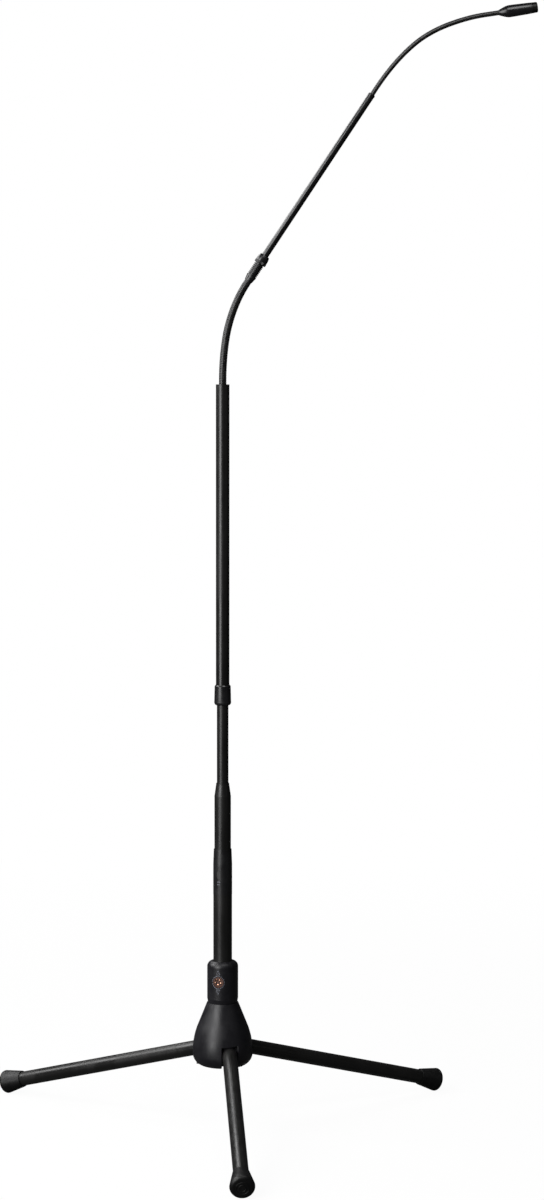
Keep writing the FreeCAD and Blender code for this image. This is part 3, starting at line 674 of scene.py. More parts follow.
# ---------------------------------------------------------------- geometry node trees
class Trees:
    """Geometry Nodes trees for everything that repeats or follows a path."""

    def __init__(self) -> None:
        """Build each tree once."""
        self.wound_tube = self._wound_tube()
        self.rib_row = self._rib_row()
        self.tooth_ring = self._tooth_ring()
        self.hole_wall = self._hole_wall()
        self.hole_disc = self._hole_disc()

    @staticmethod
    def _open(name: str, sizes: dict[str, float]) -> GroupMaker:
        """Start a tree that reads a geometry, its sizes and a material.

        Args:
            name: The tree's name.
            sizes: Default of each number by its label; a whole number is a count.

        Returns:
            The group under construction.
        """
        numbers = {label: (Socket.COUNT if isinstance(size, int) else Socket.NUMBER, size)
                   for label, size in sizes.items()}
        inputs = {"Geometry": (Socket.GEOMETRY, None), **numbers, "Material": (Socket.MATERIAL, None)}
        return GroupMaker(name, "GeometryNodeTree", inputs, {"Geometry": Socket.GEOMETRY})

    @staticmethod
    def _close(maker: GroupMaker, result: Any) -> bpy.types.NodeTree:
        """End a tree in Realize Instances and Set Material.

        Args:
            maker: The group under construction.
            result: The geometry.

        Returns:
            The finished tree.
        """
        graph, given = maker.graph, maker.inputs
        real = graph.add("GeometryNodeRealizeInstances", {0: result})
        dressed = graph.add("GeometryNodeSetMaterial", {"Geometry": real, "Material": given["Material"]})
        maker.give("Geometry", dressed)
        return maker.tree

    def _wound_tube(self) -> bpy.types.NodeTree:
        """Skin of a helically wound tube along a route of edges.

        Its attribute along is the length of route up to each ring.

        Returns:
            The tree.
        """
        maker = self._open("wound_tube", {"Radius": 0.005, "Pitch": 0.002, "Depth": 0.0005,
                                          "Rings Per Turn": 6, "Sides": 28})
        graph, given = maker.graph, maker.inputs
        route = graph.add("GeometryNodeMeshToCurve", {"Mesh": given["Geometry"]})
        length = graph.add("GeometryNodeCurveLength", {0: route}).outputs[0]
        turns = graph.math("DIVIDE", length, given["Pitch"])
        rings = graph.math("CEIL", graph.math("MULTIPLY", turns, given["Rings Per Turn"]))
        columns = graph.math("ADD", given["Sides"], 1.0)
        grid = graph.add("GeometryNodeMeshGrid", {
            "Size X": length, "Size Y": 1.0, "Vertices X": rings, "Vertices Y": columns})
        here = graph.add("ShaderNodeSeparateXYZ", {0: graph.add("GeometryNodeInputPosition")})
        along = graph.math("ADD", here.outputs["X"], graph.math("MULTIPLY", length, 0.5))
        angle = graph.math("MULTIPLY", here.outputs["Y"], -2 * math.pi)
        marked = graph.add("GeometryNodeStoreNamedAttribute", {
            "Geometry": grid, "Name": "along", "Value": along}, data_type="FLOAT", domain="POINT")
        sample = graph.add("GeometryNodeSampleCurve", {"Curves": route, "Length": along}, mode="LENGTH")
        side = graph.vector_math("CROSS_PRODUCT", sample.outputs["Tangent"], sample.outputs["Normal"])
        wound = graph.math("SUBTRACT", graph.math("DIVIDE", along, given["Pitch"]), here.outputs["Y"])
        phase = graph.math("MULTIPLY", wound, math.pi)
        crest = graph.math("POWER", graph.math("ABSOLUTE", graph.math("COSINE", phase)), 0.8)
        dip = graph.math("MULTIPLY", graph.math("SUBTRACT", 1.0, crest), given["Depth"])
        radius = graph.math("SUBTRACT", given["Radius"], dip)
        across = graph.vector_math("SCALE", sample.outputs["Normal"], graph.math("COSINE", angle))
        beside = graph.vector_math("SCALE", side, graph.math("SINE", angle))
        reach = graph.vector_math("SCALE", graph.vector_math("ADD", across, beside), radius)
        place = graph.vector_math("ADD", sample.outputs["Position"], reach)
        bent = graph.add("GeometryNodeSetPosition", {"Geometry": marked, "Position": place})
        closed = graph.add("GeometryNodeMergeByDistance", {"Geometry": bent, "Distance": 0.000001})
        return self._close(maker, closed)

    def _rib_row(self) -> bpy.types.NodeTree:
        """Row of round ribs along +Z, added to the piece they stand on.

        Returns:
            The tree.
        """
        maker = self._open("rib_row", {"Ribs": 8, "Pitch": 0.002, "First": 0.0, "Radius": 0.007,
                                       "Wire": 0.0008})
        graph, given = maker.graph, maker.inputs
        start = graph.add("ShaderNodeCombineXYZ", {"Z": given["First"]})
        step = graph.add("ShaderNodeCombineXYZ", {"Z": given["Pitch"]})
        row = graph.add("GeometryNodeMeshLine", {
            "Count": given["Ribs"], "Start Location": start, "Offset": step})
        hoop = graph.add("GeometryNodeCurvePrimitiveCircle", {"Resolution": 72, "Radius": given["Radius"]})
        wire = graph.add("GeometryNodeCurvePrimitiveCircle", {"Resolution": 10, "Radius": given["Wire"]})
        rib = graph.add("GeometryNodeCurveToMesh", {"Curve": hoop, "Profile Curve": wire})
        ribs = graph.add("GeometryNodeInstanceOnPoints", {"Points": row, "Instance": rib})
        return self._close(maker, graph.join(given["Geometry"], ribs))

    def _tooth_ring(self) -> bpy.types.NodeTree:
        """Ring of small upright ridges round +Z, added to the piece they stand on.

        Returns:
            The tree.
        """
        maker = self._open("tooth_ring", {"Teeth": 40, "Radius": 0.008, "Width": 0.0008, "Length": 0.003,
                                          "Middle": 0.0})
        graph, given = maker.graph, maker.inputs
        ring = graph.add("GeometryNodeMeshCircle", {"Vertices": given["Teeth"], "Radius": given["Radius"]})
        lift = graph.add("ShaderNodeCombineXYZ", {"Z": given["Middle"]})
        outward = graph.add("GeometryNodeInputPosition")
        turn = graph.add("FunctionNodeAlignRotationToVector", {"Vector": outward}, axis="X", pivot_axis="Z")
        size = graph.add("ShaderNodeCombineXYZ", {
            "X": given["Width"], "Y": given["Width"], "Z": given["Length"]})
        block = graph.add("GeometryNodeMeshCube", {"Size": size})
        edge_out = (0.0, 0.0, math.radians(45.0))
        corner = graph.add("GeometryNodeTransform", {"Geometry": block, "Rotation": edge_out})
        teeth = graph.add("GeometryNodeInstanceOnPoints", {
            "Points": ring, "Instance": corner, "Rotation": turn})
        raised = graph.add("GeometryNodeTransform", {"Geometry": teeth, "Translation": lift})
        return self._close(maker, graph.join(given["Geometry"], raised))

    def _hole_wall(self) -> bpy.types.NodeTree:
        """Perforated wall round +Z, made of copies of the one tile that it is given.

        Returns:
            The tree.
        """
        maker = self._open("hole_wall", {"Columns": 20, "Rows": 3, "Tile": 0.002, "Foot": 0.0,
                                         "Foot Radius": 0.007, "Top Radius": 0.0065})
        graph, given = maker.graph, maker.inputs
        tile = given["Tile"]
        wide = graph.math("MULTIPLY", tile, graph.math("SUBTRACT", given["Columns"], 1.0))
        high = graph.math("MULTIPLY", tile, graph.math("SUBTRACT", given["Rows"], 1.0))
        grid = graph.add("GeometryNodeMeshGrid", {
            "Size X": wide, "Size Y": high, "Vertices X": given["Columns"], "Vertices Y": given["Rows"]})
        tiles = graph.add("GeometryNodeInstanceOnPoints", {"Points": grid, "Instance": given["Geometry"]})
        sheet = graph.add("GeometryNodeRealizeInstances", {0: tiles})
        here = graph.add("ShaderNodeSeparateXYZ", {0: graph.add("GeometryNodeInputPosition")})
        girth = graph.math("MULTIPLY", tile, given["Columns"])
        angle = graph.math("MULTIPLY", graph.math("DIVIDE", here.outputs["X"], girth), 2 * math.pi)
        height = graph.math("MULTIPLY", tile, given["Rows"])
        rise = graph.math("ADD", here.outputs["Y"], graph.math("MULTIPLY", height, 0.5))
        share = graph.math("DIVIDE", rise, height)
        slim = graph.math("SUBTRACT", given["Top Radius"], given["Foot Radius"])
        radius = graph.math("MULTIPLY_ADD", share, slim, given["Foot Radius"])
        place = graph.add("ShaderNodeCombineXYZ", {
            "X": graph.math("MULTIPLY", graph.math("COSINE", angle), radius),
            "Y": graph.math("MULTIPLY", graph.math("SINE", angle), radius),
            "Z": graph.math("ADD", rise, given["Foot"])})
        bent = graph.add("GeometryNodeSetPosition", {"Geometry": sheet, "Position": place})
        closed = graph.add("GeometryNodeMergeByDistance", {"Geometry": bent, "Distance": 0.00001})
        return self._close(maker, closed)

    def _hole_disc(self) -> bpy.types.NodeTree:
        """Flat disc across +Z with rings of round holes.

        Returns:
            The tree.
        """
        maker = self._open("hole_disc", {"Radius": 0.006, "Hole": 0.0006, "Step": 0.0019, "Height": 0.0})
        graph, given = maker.graph, maker.inputs
        hole = graph.add("GeometryNodeCurvePrimitiveCircle", {"Resolution": 12, "Radius": given["Hole"]})
        rim = graph.add("GeometryNodeCurvePrimitiveCircle", {"Resolution": 72, "Radius": given["Radius"]})
        loops = graph.join(rim, hole)
        for ring in (1, 2):
            radius = graph.math("MULTIPLY", given["Step"], float(ring))
            circle = graph.add("GeometryNodeMeshCircle", {"Vertices": 6 * ring, "Radius": radius})
            holes = graph.add("GeometryNodeInstanceOnPoints", {"Points": circle, "Instance": hole})
            graph.feed(loops.inputs[0], graph.add("GeometryNodeRealizeInstances", {0: holes}))
        flat = graph.add("GeometryNodeFillCurve", {"Curve": loops})
        lift = graph.add("ShaderNodeCombineXYZ", {"Z": given["Height"]})
        lifted = graph.add("GeometryNodeTransform", {"Geometry": flat, "Translation": lift})
        return self._close(maker, lifted)


# ---------------------------------------------------------------- sub-assemblies
@dataclass
class SubAssembly:
    """What every sub-assembly needs: its finishes and its trees."""

    palette: Palette
    trees: Trees

    def dress(self, finish: Finish, *nodes: str) -> None:
        """Give frame nodes their finish.

        Args:
            finish: The finish.
            *nodes: Names of the nodes.
        """
        for name in nodes:
            data = frame["nodes"][name].data
            data.materials.clear()
            data.materials.append(self.palette.get(finish))
            log.info("frame node %s: %s", name, finish.name)

    def own(self, made: bpy.types.Object, finish: Finish, slot: Slot, body: str, *replaced: str) -> None:
        """Finish a piece that rides on one body.

        Args:
            made: The piece.
            finish: Its finish.
            slot: The record's slot for the piece; not used.
            body: The body that carries it.
            *replaced: Frame nodes that it stands for.
        """
        made.data.materials.clear()
        made.data.materials.append(self.palette.get(finish))
        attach(made, body)
        if replaced:
            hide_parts(*replaced)
        log.info("piece %s rides on %s: %s, %d faces", made.name, body, finish.name, len(made.data.polygons))


def joint(name: str) -> dict[str, Any]:
    """The record's row for one joint."""
    return next(row for row in frame["joints"] if row["name"] == name)


def node_middle(name: str) -> Vector:
    """Middle of a frame node's box."""
    low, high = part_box(name)
    return (low + high) / 2


def print_and_painted_highlight_strip(name: str, outline: Profile, width: float, radius: float, azimuth: float, height: float,
                thickness: float) -> bpy.types.Object:
    """Closed line laid on an upright cylinder: printed ink on the collar, a painted highlight on the grip.

    Args:
        name: The object's name.
        outline: Corners of the line, sideways and up from its middle.
        width: The line's width.
        radius: Radius of the cylinder.
        azimuth: Azimuth of the line's middle, in degrees.
        height: Height of the line's middle.
        thickness: How far the line stands proud.

    Returns:
        The object.
    """
    middle = Vector((sum(p[0] for p in outline), sum(p[1] for p in outline))) / len(outline)
    corners = [Vector(p) - middle for p in outline]
    dense: list[Vector] = []
    cuts = 6 if len(corners) < 8 else 1
    for a, b in zip(corners, corners[1:] + corners[:1]):
        dense.extend(a.lerp(b, k / cuts) for k in range(cuts))
    shrink = 1 - width / min(p.length for p in dense)
    points: list[Vector] = []
    for layer in (radius, radius + thickness):
        for scale in (1.0, shrink):
            for p in dense:
                flat = middle + p * scale
                angle = math.radians(azimuth) + flat.x / radius
                points.append(Vector((layer * math.cos(angle), layer * math.sin(angle), height + flat.y)))
    n = len(dense)
    loops = (2 * n, 3 * n, n, 0)
    faces = []
    for k in range(n):
        j = (k + 1) % n
        for a, b in zip(loops, loops[1:] + loops[:1]):
            faces.append((a + k, b + k, b + j, a + j))
    return soften(mesh_object(name, points, [], faces))


@dataclass
class Tripod(SubAssembly):
    """Three folding legs with rubber caps."""

    legs: int = 3
    tread_radii: tuple[float, float] = (4.6 * MM, 8.4 * MM)
    tread_wire: float = 0.55 * MM

    def tread(self, number: int) -> bpy.types.Object:
        """Moulded rings on the end face of one cap.

        Args:
            number: The leg's number.

        Returns:
            The rings.
        """
        pin = Vector(joint(f"leg_{number}_fold")["pos_m"])
        tube = node_middle(f"leg_tube_{number}")
        axis = (tube - pin).normalized()
        corners = [Vector(v.co) for v in frame["nodes"][f"foot_cap_{number}"].data.vertices]
        reach = max((c - pin).dot(axis) for c in corners)
        place = standing(pin + axis * reach, axis)
        rings = []
        for radius in self.tread_radii:
            profile = arc((radius, 0.0), self.tread_wire, -180.0, 180.0, 12)[:-1]
            rings.append(lathe("ring", profile, place, sides=64, closed=True))
        return joined(f"cap_tread_{number}", rings)

    def build(self) -> None:
        """Dress the legs and add the treads."""
        for number in range(1, self.legs + 1):
            self.dress(Palette.CAST, f"leg_knuckle_{number}")
            self.dress(Palette.TUBE, f"leg_tube_{number}")
            self.dress(Palette.RUBBER, f"foot_cap_{number}")
            self.own(self.tread(number), Palette.RUBBER, Slot.RUBBER, f"leg_{number}")


@dataclass
class Hub(SubAssembly):
    """Bell, collar, badge and the signal socket underneath."""

    azimuth: float = -106.6
    ink: float = 0.05 * MM
    ring_radius: float = 8.9 * MM
    line: float = 0.42 * MM
    ring_points: int = 64
    arrow: tuple[float, float] = (2.9 * MM, 3.4 * MM)
    arrow_gap: float = 13.6 * MM
    badge_edge: float = 0.7 * MM
    badge_depth: float = 1.4 * MM
    dish: tuple[float, float] = (0.35 * MM, 0.25 * MM)
    bevel: float = 0.2 * MM
    petals: int = 5
    petal_ring: float = 0.56
    petal_size: float = 0.26
    petal_sink: float = 0.5 * MM
    petal_crown: float = 0.45

    def badge_place(self) -> tuple[Matrix, float]:
        """Where the badge lies.

        Returns:
            Its placement, with +Z out of its face, and its radius.
        """
        low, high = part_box("collar_badge")
        corners = [Vector(v.co) for v in frame["nodes"]["collar_badge"].data.vertices]
        outward = Vector((math.cos(math.radians(self.azimuth)), math.sin(math.radians(self.azimuth)), 0.0))
        face = max(c.dot(outward) for c in corners)
        middle = Vector((0.0, 0.0, (low.z + high.z) / 2)) + outward * face
        return standing(middle, outward), (high.z - low.z) / 2

    def badge(self) -> None:
        """Round badge: enamel field and rim with a ring of copper petals."""
        place, radius = self.badge_place()
        depth, bevel = self.badge_depth, self.bevel
        rim = radius - self.badge_edge
        field_profile = [(0.0, -depth), (rim, -depth), (rim, -self.dish[0]), (0.0, -self.dish[1])]
        plate = lathe("badge_field", field_profile, place)
        self.own(plate, Palette.ENAMEL, Slot.COPPER, "hub", "collar_badge")
        edge = [(rim, -depth), (radius, -depth), (radius, -bevel), (radius - bevel, 0.0),
                (rim + 0.1 * MM, 0.0), (rim, -0.15 * MM)]
        self.own(lathe("badge_rim", edge, place, closed=True), Palette.ENAMEL, Slot.COPPER, "hub")
        sink = -self.petal_sink
        round_top = arc((0.0, sink), rim * self.petal_size, 0.0, 90.0, 6)
        petal = [(0.0, sink)] + [(r, sink + (z - sink) * self.petal_crown) for r, z in round_top]
        domes = []
        for k in range(self.petals):
            angle = 2 * math.pi * (k + 0.5) / self.petals
            spot = Vector((math.cos(angle), math.sin(angle), 0.0)) * (rim * self.petal_ring)
            domes.append(lathe("dome", petal, place @ Matrix.Translation(spot), sides=24))
        self.own(joined("badge_rosette", domes), Palette.COPPER, Slot.COPPER, "hub")

    def marks(self) -> None:
        """Printed ring round the badge, with one arrow above it and one below."""
        low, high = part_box("collar_badge")
        collar_low, collar_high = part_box("hub_collar")
        radius = (collar_high.x - collar_low.x) / 2
        middle = (low.z + high.z) / 2
        turns = [2 * math.pi * k / self.ring_points for k in range(self.ring_points)]
        circle = [(self.ring_radius * math.cos(t), self.ring_radius * math.sin(t)) for t in turns]
        half, tall = self.arrow
        up = [(-half, -tall), (half, -tall), (0.0, tall)]
        down = [(half, tall), (-half, tall), (0.0, -tall)]
        rows = [(circle, 0.0), (up, self.arrow_gap), (down, -self.arrow_gap)]
        parts = [print_and_painted_highlight_strip("mark", outline, self.line, radius, self.azimuth, middle + rise, self.ink)
                 for outline, rise in rows]
        self.own(joined("collar_print", parts), Palette.PRINT_AND_HIGHLIGHT, Slot.CAST, "hub")

    def build(self) -> None:
        """Dress the hub and add what stands on the collar."""
        self.dress(Palette.CAST, "hub_bell", "hub_collar", "pin_keepers")
        self.dress(Palette.STEEL, "collar_grub_screws", "leg_pins", "socket_shell")
        self.dress(Palette.NYLON, "socket_insert", "tube_plug")
        self.dress(Palette.CONTACT, "socket_pins")
        self.badge()
        self.marks()


@dataclass
class Mast(SubAssembly):
    """Telescopic mast: lower, middle, thin and upper tubes with their grip and clutch."""

    azimuth: float = -115.0
    dash: tuple[float, float] = (2.0 * MM, 0.42 * MM)
    dash_drops: tuple[float, float] = (9.6 * MM, 13.4 * MM)
    # Lift of the grip's two pale dashes, whose pale colour is a painted highlight.
    ink: float = 0.05 * MM

    def grip_marks(self) -> None:
        """Two short pale dashes below the release button: small marks whose pale colour is a painted
        highlight.
        """
        low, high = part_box("release_button")
        sleeve_low, sleeve_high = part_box("grip_sleeve")
        radius = (sleeve_high.x - sleeve_low.x) / 2
        middle = (low.z + high.z) / 2
        half, thick = self.dash
        outline = [(-half, -thick), (half, -thick), (half, thick), (-half, thick)]
        # The dashes are small marks of the grip; their pale colour is a painted highlight.
        parts = [print_and_painted_highlight_strip("dash", outline, thick * 0.9, radius, self.azimuth, middle - drop, self.ink)
                 for drop in self.dash_drops]
        self.own(joined("grip_dashes_painted_highlight", parts), Palette.PRINT_AND_HIGHLIGHT, Slot.CLUTCH, "hub")

    def build(self) -> None:
        """Dress the mast and add the grip's two pale dashes, a painted highlight."""
        self.dress(Palette.TUBE, "lower_tube", "middle_tube", "tube_reducer", "thin_tube", "upper_tube")
        self.dress(Palette.MOULDED, "grip_sleeve", "clutch_ring")
        self.dress(Palette.NYLON, "grip_liner", "release_button", "middle_bush", "thin_bush", "clutch_body",
                   "clutch_collet", "upper_plug")
        self.dress(Palette.RUBBER, "mast_lead")
        self.grip_marks()


@dataclass
class Gooseneck(SubAssembly):
    """One flexible neck: a wound skin shaped along a route that rounds a row of joints."""

    name: str = "gooseneck"
    joints: tuple[str, ...] = ()
    root: Vector = field(default_factory=Vector)
    tip: Vector = field(default_factory=Vector)
    radius: float = 5.2 * MM
    pitch: float = 2.2 * MM
    depth: float = 0.5 * MM
    sides: int = 28
    root_depth: float = 12.0 * MM
    tip_depth: float = 12.0 * MM
    arc_steps: int = 14
    free_share: float = 0.9
    least_turn: float = 1e-4
    least_step: float = 1e-7

    def corners(self) -> list[Vector]:
        """Root, joints and tip of the neck.

        Returns:
            The points, in order.
        """
        return [self.root] + [Vector(joint(name)["pos_m"]) for name in self.joints] + [self.tip]

    def route(self) -> tuple[list[Vector], list[float]]:
        """Smooth middle line, with a round stretch over every joint.

        Returns:
            Its points, and the length along it at which each joint's zone ends, but for the last.
        """
        points = self.corners()
        first = (points[1] - points[0]).normalized()
        last = (points[-1] - points[-2]).normalized()
        line = [points[0] - first * self.root_depth, points[0]]
        spans = [(b - a).length for a, b in zip(points, points[1:])]
        ends = []
        for k in range(1, len(points) - 1):
            before = (points[k] - points[k - 1]).normalized()
            after = (points[k + 1] - points[k]).normalized()
            inner = k > 1
            outer = k + 1 < len(points) - 1
            shares = [0.5 if shared else self.free_share for shared in (inner, outer)]
            reach = min(spans[k - 1] * shares[0], spans[k] * shares[1])
            line.extend(self.bend(points[k], before, after, reach))
            if outer:
                line.append(points[k] + after * (spans[k] / 2))
                ends.append(sum((b - a).length for a, b in zip(line, line[1:])))
        line.extend([points[-1], points[-1] + last * self.tip_depth])
        tidy = [line[0]]
        for point in line[1:]:
            if (point - tidy[-1]).length > self.least_step:
                tidy.append(point)
        return tidy, ends

    def bend(self, corner: Vector, before: Vector, after: Vector, reach: float) -> list[Vector]:
        """Round stretch over one joint.

        Args:
            corner: The joint.
            before: Heading up to it.
            after: Heading past it.
            reach: How far from the joint the stretch starts and ends.

        Returns:
            Points of the stretch, ends included.
        """
        turn = before.angle(after)
        if turn < self.least_turn:
            return [corner - before * reach, corner + after * reach]
        axis = before.cross(after).normalized()
        radius = reach / math.tan(turn / 2)
        start = corner - before * reach
        centre = start + axis.cross(before) * radius
        arm = start - centre
        return [centre + Quaternion(axis, turn * k / self.arc_steps) @ arm for k in range(self.arc_steps + 1)]

    def build(self) -> None:
        """Wind the skin along the route and share it out among the joints."""
        line, ends = self.route()
        path = mesh_object(self.name, line, [(k, k + 1) for k in range(len(line) - 1)], [])
        values = {"Radius": self.radius, "Pitch": self.pitch, "Depth": self.depth, "Rings Per Turn": 6,
                  "Sides": self.sides, "Material": self.palette.get(Palette.NECK)}
        whole = run_nodes(path, self.trees.wound_tube, values)
        data = whole.data
        along = [item.value for item in data.attributes["along"].data]
        zones: list[list[tuple[int, ...]]] = [[] for _ in self.joints]
        for face in data.polygons:
            corners = tuple(face.vertices)
            middle = sum(along[v] for v in corners) / len(corners)
            zones[bisect_right(ends, middle)].append(corners)
        points = self.corners()
        for number, faces in enumerate(zones):
            used = sorted({v for face in faces for v in face})
            index = {v: i for i, v in enumerate(used)}
            places = [data.vertices[v].co.copy() for v in used]
            piece = mesh_object(f"{self.name}_skin_{number + 1}", places, [],
                                [[index[v] for v in face] for face in faces])
            soften(piece, 180.0)
            self.hang(piece, number, points)
        bpy.data.objects.remove(whole)

    def hang(self, piece: bpy.types.Object, number: int, points: list[Vector]) -> None:
        """Give one stretch of skin its finish, bake its placement and hide the frame nodes that it stands
        for.

        Args:
            piece: The stretch.
            number: Which joint, from 0.
            points: Root, joints and tip; not used.
        """
        last = number == len(self.joints) - 1
        piece.data.materials.append(self.palette.get(Palette.NECK))
        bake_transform(piece)
        replaced = [f"{self.name}_{number + 1}"] + ([f"{self.name}_{number + 2}"] if last else [])
        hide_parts(*replaced)


@dataclass
class Coupling(SubAssembly):
    """Threaded sleeve and cone-nosed nut between the lower neck and the boom tube."""

    origin: Vector = field(default_factory=Vector)
    axis: Vector = field(default_factory=UP.copy)
    bore: float = 5.25 * MM
    cone: float = 7.0 * MM
    barrel: float = 20.5 * MM
    barrel_radius: float = 6.95 * MM
    ribs: int = 7
    rib_start: float = 3.6 * MM
    rib_pitch: float = 2.45 * MM
    rib_wire: float = 0.82 * MM
    nut_radius: float = 8.45 * MM
    nut_band: float = 4.3 * MM
    nut_nose: float = 9.4 * MM
    nut_bore: float = 4.77 * MM
    nut_turn: float = 80.0
    nut_steps: int = 8
    teeth: int = 44

    def sleeve(self) -> None:
        """Cone and ribbed barrel."""
        end = self.cone + self.barrel
        body = self.barrel_radius - 1.1 * MM
        profile = [(self.bore, 0.0), (self.bore + 0.3 * MM, 0.0), (self.bore + 0.55 * MM, 0.9 * MM),
                   (self.barrel_radius - 0.4 * MM, self.cone - 0.8 * MM), (self.barrel_radius, self.cone),
                   (self.barrel_radius, self.cone + 1.6 * MM), (body, self.cone + 2.1 * MM), (body, end),
                   (self.bore, end)]
        base = lathe("sleeve", profile, HERE, closed=True)
        values = {"Ribs": self.ribs, "Pitch": self.rib_pitch, "First": self.cone + self.rib_start,
                  "Wire": self.rib_wire, "Radius": self.barrel_radius - self.rib_wire,
                  "Material": self.palette.get(Palette.CAST)}
        made = add_repeats("coupling_barrel", base, self.trees.rib_row, values)
        made.data.transform(standing(self.origin, self.axis))
        self.own(made, Palette.HEAD, Slot.CAST, "boom", "coupling_sleeve")

    def nut(self) -> None:
        """Ridged band and cone nose."""
        top = self.nut_band + self.nut_nose
        band = self.nut_radius - 0.3 * MM
        mouth = self.nut_bore + 1.0 * MM
        turns = [math.radians(self.nut_turn * k / self.nut_steps) for k in range(self.nut_steps + 1)]
        nose = [(mouth + (band - mouth) * math.cos(t), self.nut_band + self.nut_nose * math.sin(t))
                for t in turns]
        profile = [(self.nut_bore, 0.05 * MM), (band - 0.6 * MM, 0.05 * MM), (band, 0.6 * MM), *nose,
                   (self.nut_bore + 0.5 * MM, top), (self.nut_bore, top)]
        base = lathe("nut", profile, HERE, closed=True)
        values = {"Teeth": self.teeth, "Radius": band - 0.25 * MM, "Width": 0.75 * MM,
                  "Length": self.nut_band - 1.0 * MM, "Middle": self.nut_band / 2,
                  "Material": self.palette.get(Palette.CAST)}
        made = add_repeats("coupling_cone_nut", base, self.trees.tooth_ring, values)
        made.data.transform(standing(self.origin + self.axis * (self.cone + self.barrel), self.axis))
        self.own(made, Palette.HEAD, Slot.CAST, "coupling_nut", "coupling_nut")

    def build(self) -> None:
        """Make both pieces, and dress the boom tube that the nut holds."""
        self.sleeve()
        self.nut()
        self.dress(Palette.BOOM, "boom_tube", "boom_end_ring")
        self.dress(Palette.RUBBER, "boom_lead")


@dataclass
class Head(SubAssembly):
    """Microphone head: tapered tail, barrel and perforated nose."""

    origin: Vector = field(default_factory=Vector)
    axis: Vector = field(default_factory=UP.copy)
    nose_start: float = 43.85 * MM
    nose_length: float = 8.5 * MM
    foot_radius: float = 7.25 * MM
    top_radius: float = 7.0 * MM
    tail: float = 15.0 * MM
    tail_radius: float = 3.75 * MM
    belly_radius: float = 8.1 * MM
    bore_radius: float = 3.4 * MM
    wall: float = 0.7 * MM
    rows: int = 3
    tile: float = 2.05 * MM
    columns: int = 20
    hole: float = 0.68 * MM
    tile_steps: int = 16
    disc_edge: float = 1.0 * MM
    sides: int = 80
    swell_steps: int = 14
    swell_power: float = 1.15
    barrel_wall: float = 1.0 * MM
    parting: float = 0.15 * MM

    def tile_object(self) -> bpy.types.Object:
        """One square of the wall with its round hole.

        Returns:
            The tile, in the XY plane.
        """
        half = self.tile / 2
        steps = self.tile_steps
        outer = []
        inner = []
        for k in range(steps):
            angle = 2 * math.pi * k / steps
            ray = Vector((math.cos(angle), math.sin(angle), 0.0))
            outer.append(ray * (half / max(abs(ray.x), abs(ray.y))))
            inner.append(ray * self.hole)
        faces = [(k, (k + 1) % steps, steps + (k + 1) % steps, steps + k) for k in range(steps)]
        return mesh_object("grille_wall", outer + inner, [], faces)

    def thicken(self, sheet: bpy.types.Object) -> None:
        """Give a perforated sheet its wall, inwards."""
        modifier = sheet.modifiers.new("wall", "SOLIDIFY")
        modifier.thickness = self.wall
        modifier.offset = -1.0
        frozen(sheet)

    def nose(self) -> None:
        """Perforated wall and disc between two plain rims."""
        height = self.rows * self.tile
        foot = (self.nose_length - height) / 2 - 0.35 * MM
        finish = self.palette.get(Palette.GRILLE)
        wall = run_nodes(self.tile_object(), self.trees.hole_wall, {
            "Columns": self.columns, "Rows": self.rows, "Tile": self.tile, "Foot": foot,
            "Foot Radius": self.foot_radius, "Top Radius": self.top_radius, "Material": finish})
        self.thicken(wall)
        disc = run_nodes(mesh_object("grille_disc", [(0.0, 0.0, 0.0)], [], []), self.trees.hole_disc, {
            "Radius": self.top_radius - self.disc_edge, "Hole": 0.55 * MM, "Step": 1.85 * MM,
            "Height": self.nose_length, "Material": finish})
        self.thicken(disc)
        inner = self.foot_radius - self.wall
        low = lathe("low", [(inner, 0.0), (self.foot_radius, 0.0), (self.foot_radius, foot), (inner, foot)],
                    HERE, self.sides, closed=True)
        start = foot + height
        rounding = self.nose_length - start
        edge = arc((self.top_radius - rounding, start), rounding, 0.0, 90.0, 6)
        rim, under = self.top_radius - self.disc_edge, self.nose_length - self.wall
        profile = [(self.top_radius - self.wall, start), *edge, (rim, self.nose_length), (rim, under),
                   (self.top_radius - self.wall - 0.4 * MM, under)]
        high = lathe("high", profile, HERE, self.sides, closed=True)
        made = joined("perforated_nose", [wall, disc, low, high])
        made.data.transform(standing(self.origin + self.axis * self.nose_start, self.axis))
        self.own(made, Palette.GRILLE, Slot.GRILLE, "head", "head_grille")

    def shell(self) -> None:
        """Rounded tail and tapered barrel, with a fine parting line between them."""
        place = standing(self.origin, self.axis)
        step, steps, bore = self.belly_radius - self.tail_radius, self.swell_steps, self.bore_radius
        swell = [(self.tail_radius + step * math.sin(math.pi / 2 * k / steps) ** self.swell_power,
                  self.tail * k / steps) for k in range(steps + 1)]
        inside = [(bore + 2.6 * MM, self.tail), (bore, self.tail * 0.6), (bore, 0.0)]
        tail = lathe("head_tail", swell + inside, place, self.sides, closed=True)
        self.own(tail, Palette.HEAD, Slot.HEAD, "head", "head_cone")
        start, wall = self.tail + self.parting, self.barrel_wall
        taper = [(self.belly_radius, start + 0.2 * MM), (self.belly_radius - 0.05 * MM, start + 5.0 * MM),
                 (self.foot_radius + 0.25 * MM, self.nose_start - 3.0 * MM),
                 (self.foot_radius, self.nose_start)]
        profile = [(self.belly_radius - 0.2 * MM, start), *taper, (self.foot_radius - wall, self.nose_start),
                   (self.belly_radius - wall - 0.6 * MM, start)]
        barrel = lathe("head_barrel", profile, place, self.sides, closed=True)
        self.own(barrel, Palette.HEAD, Slot.HEAD, "head", "head_body")

    def build(self) -> None:
        """Make the shell and the nose, and dress what is inside."""
        self.shell()
        self.nose()
        self.dress(Palette.RUBBER, "capsule", "capsule_seat")
        self.dress(Palette.BOARD, "preamp_board")


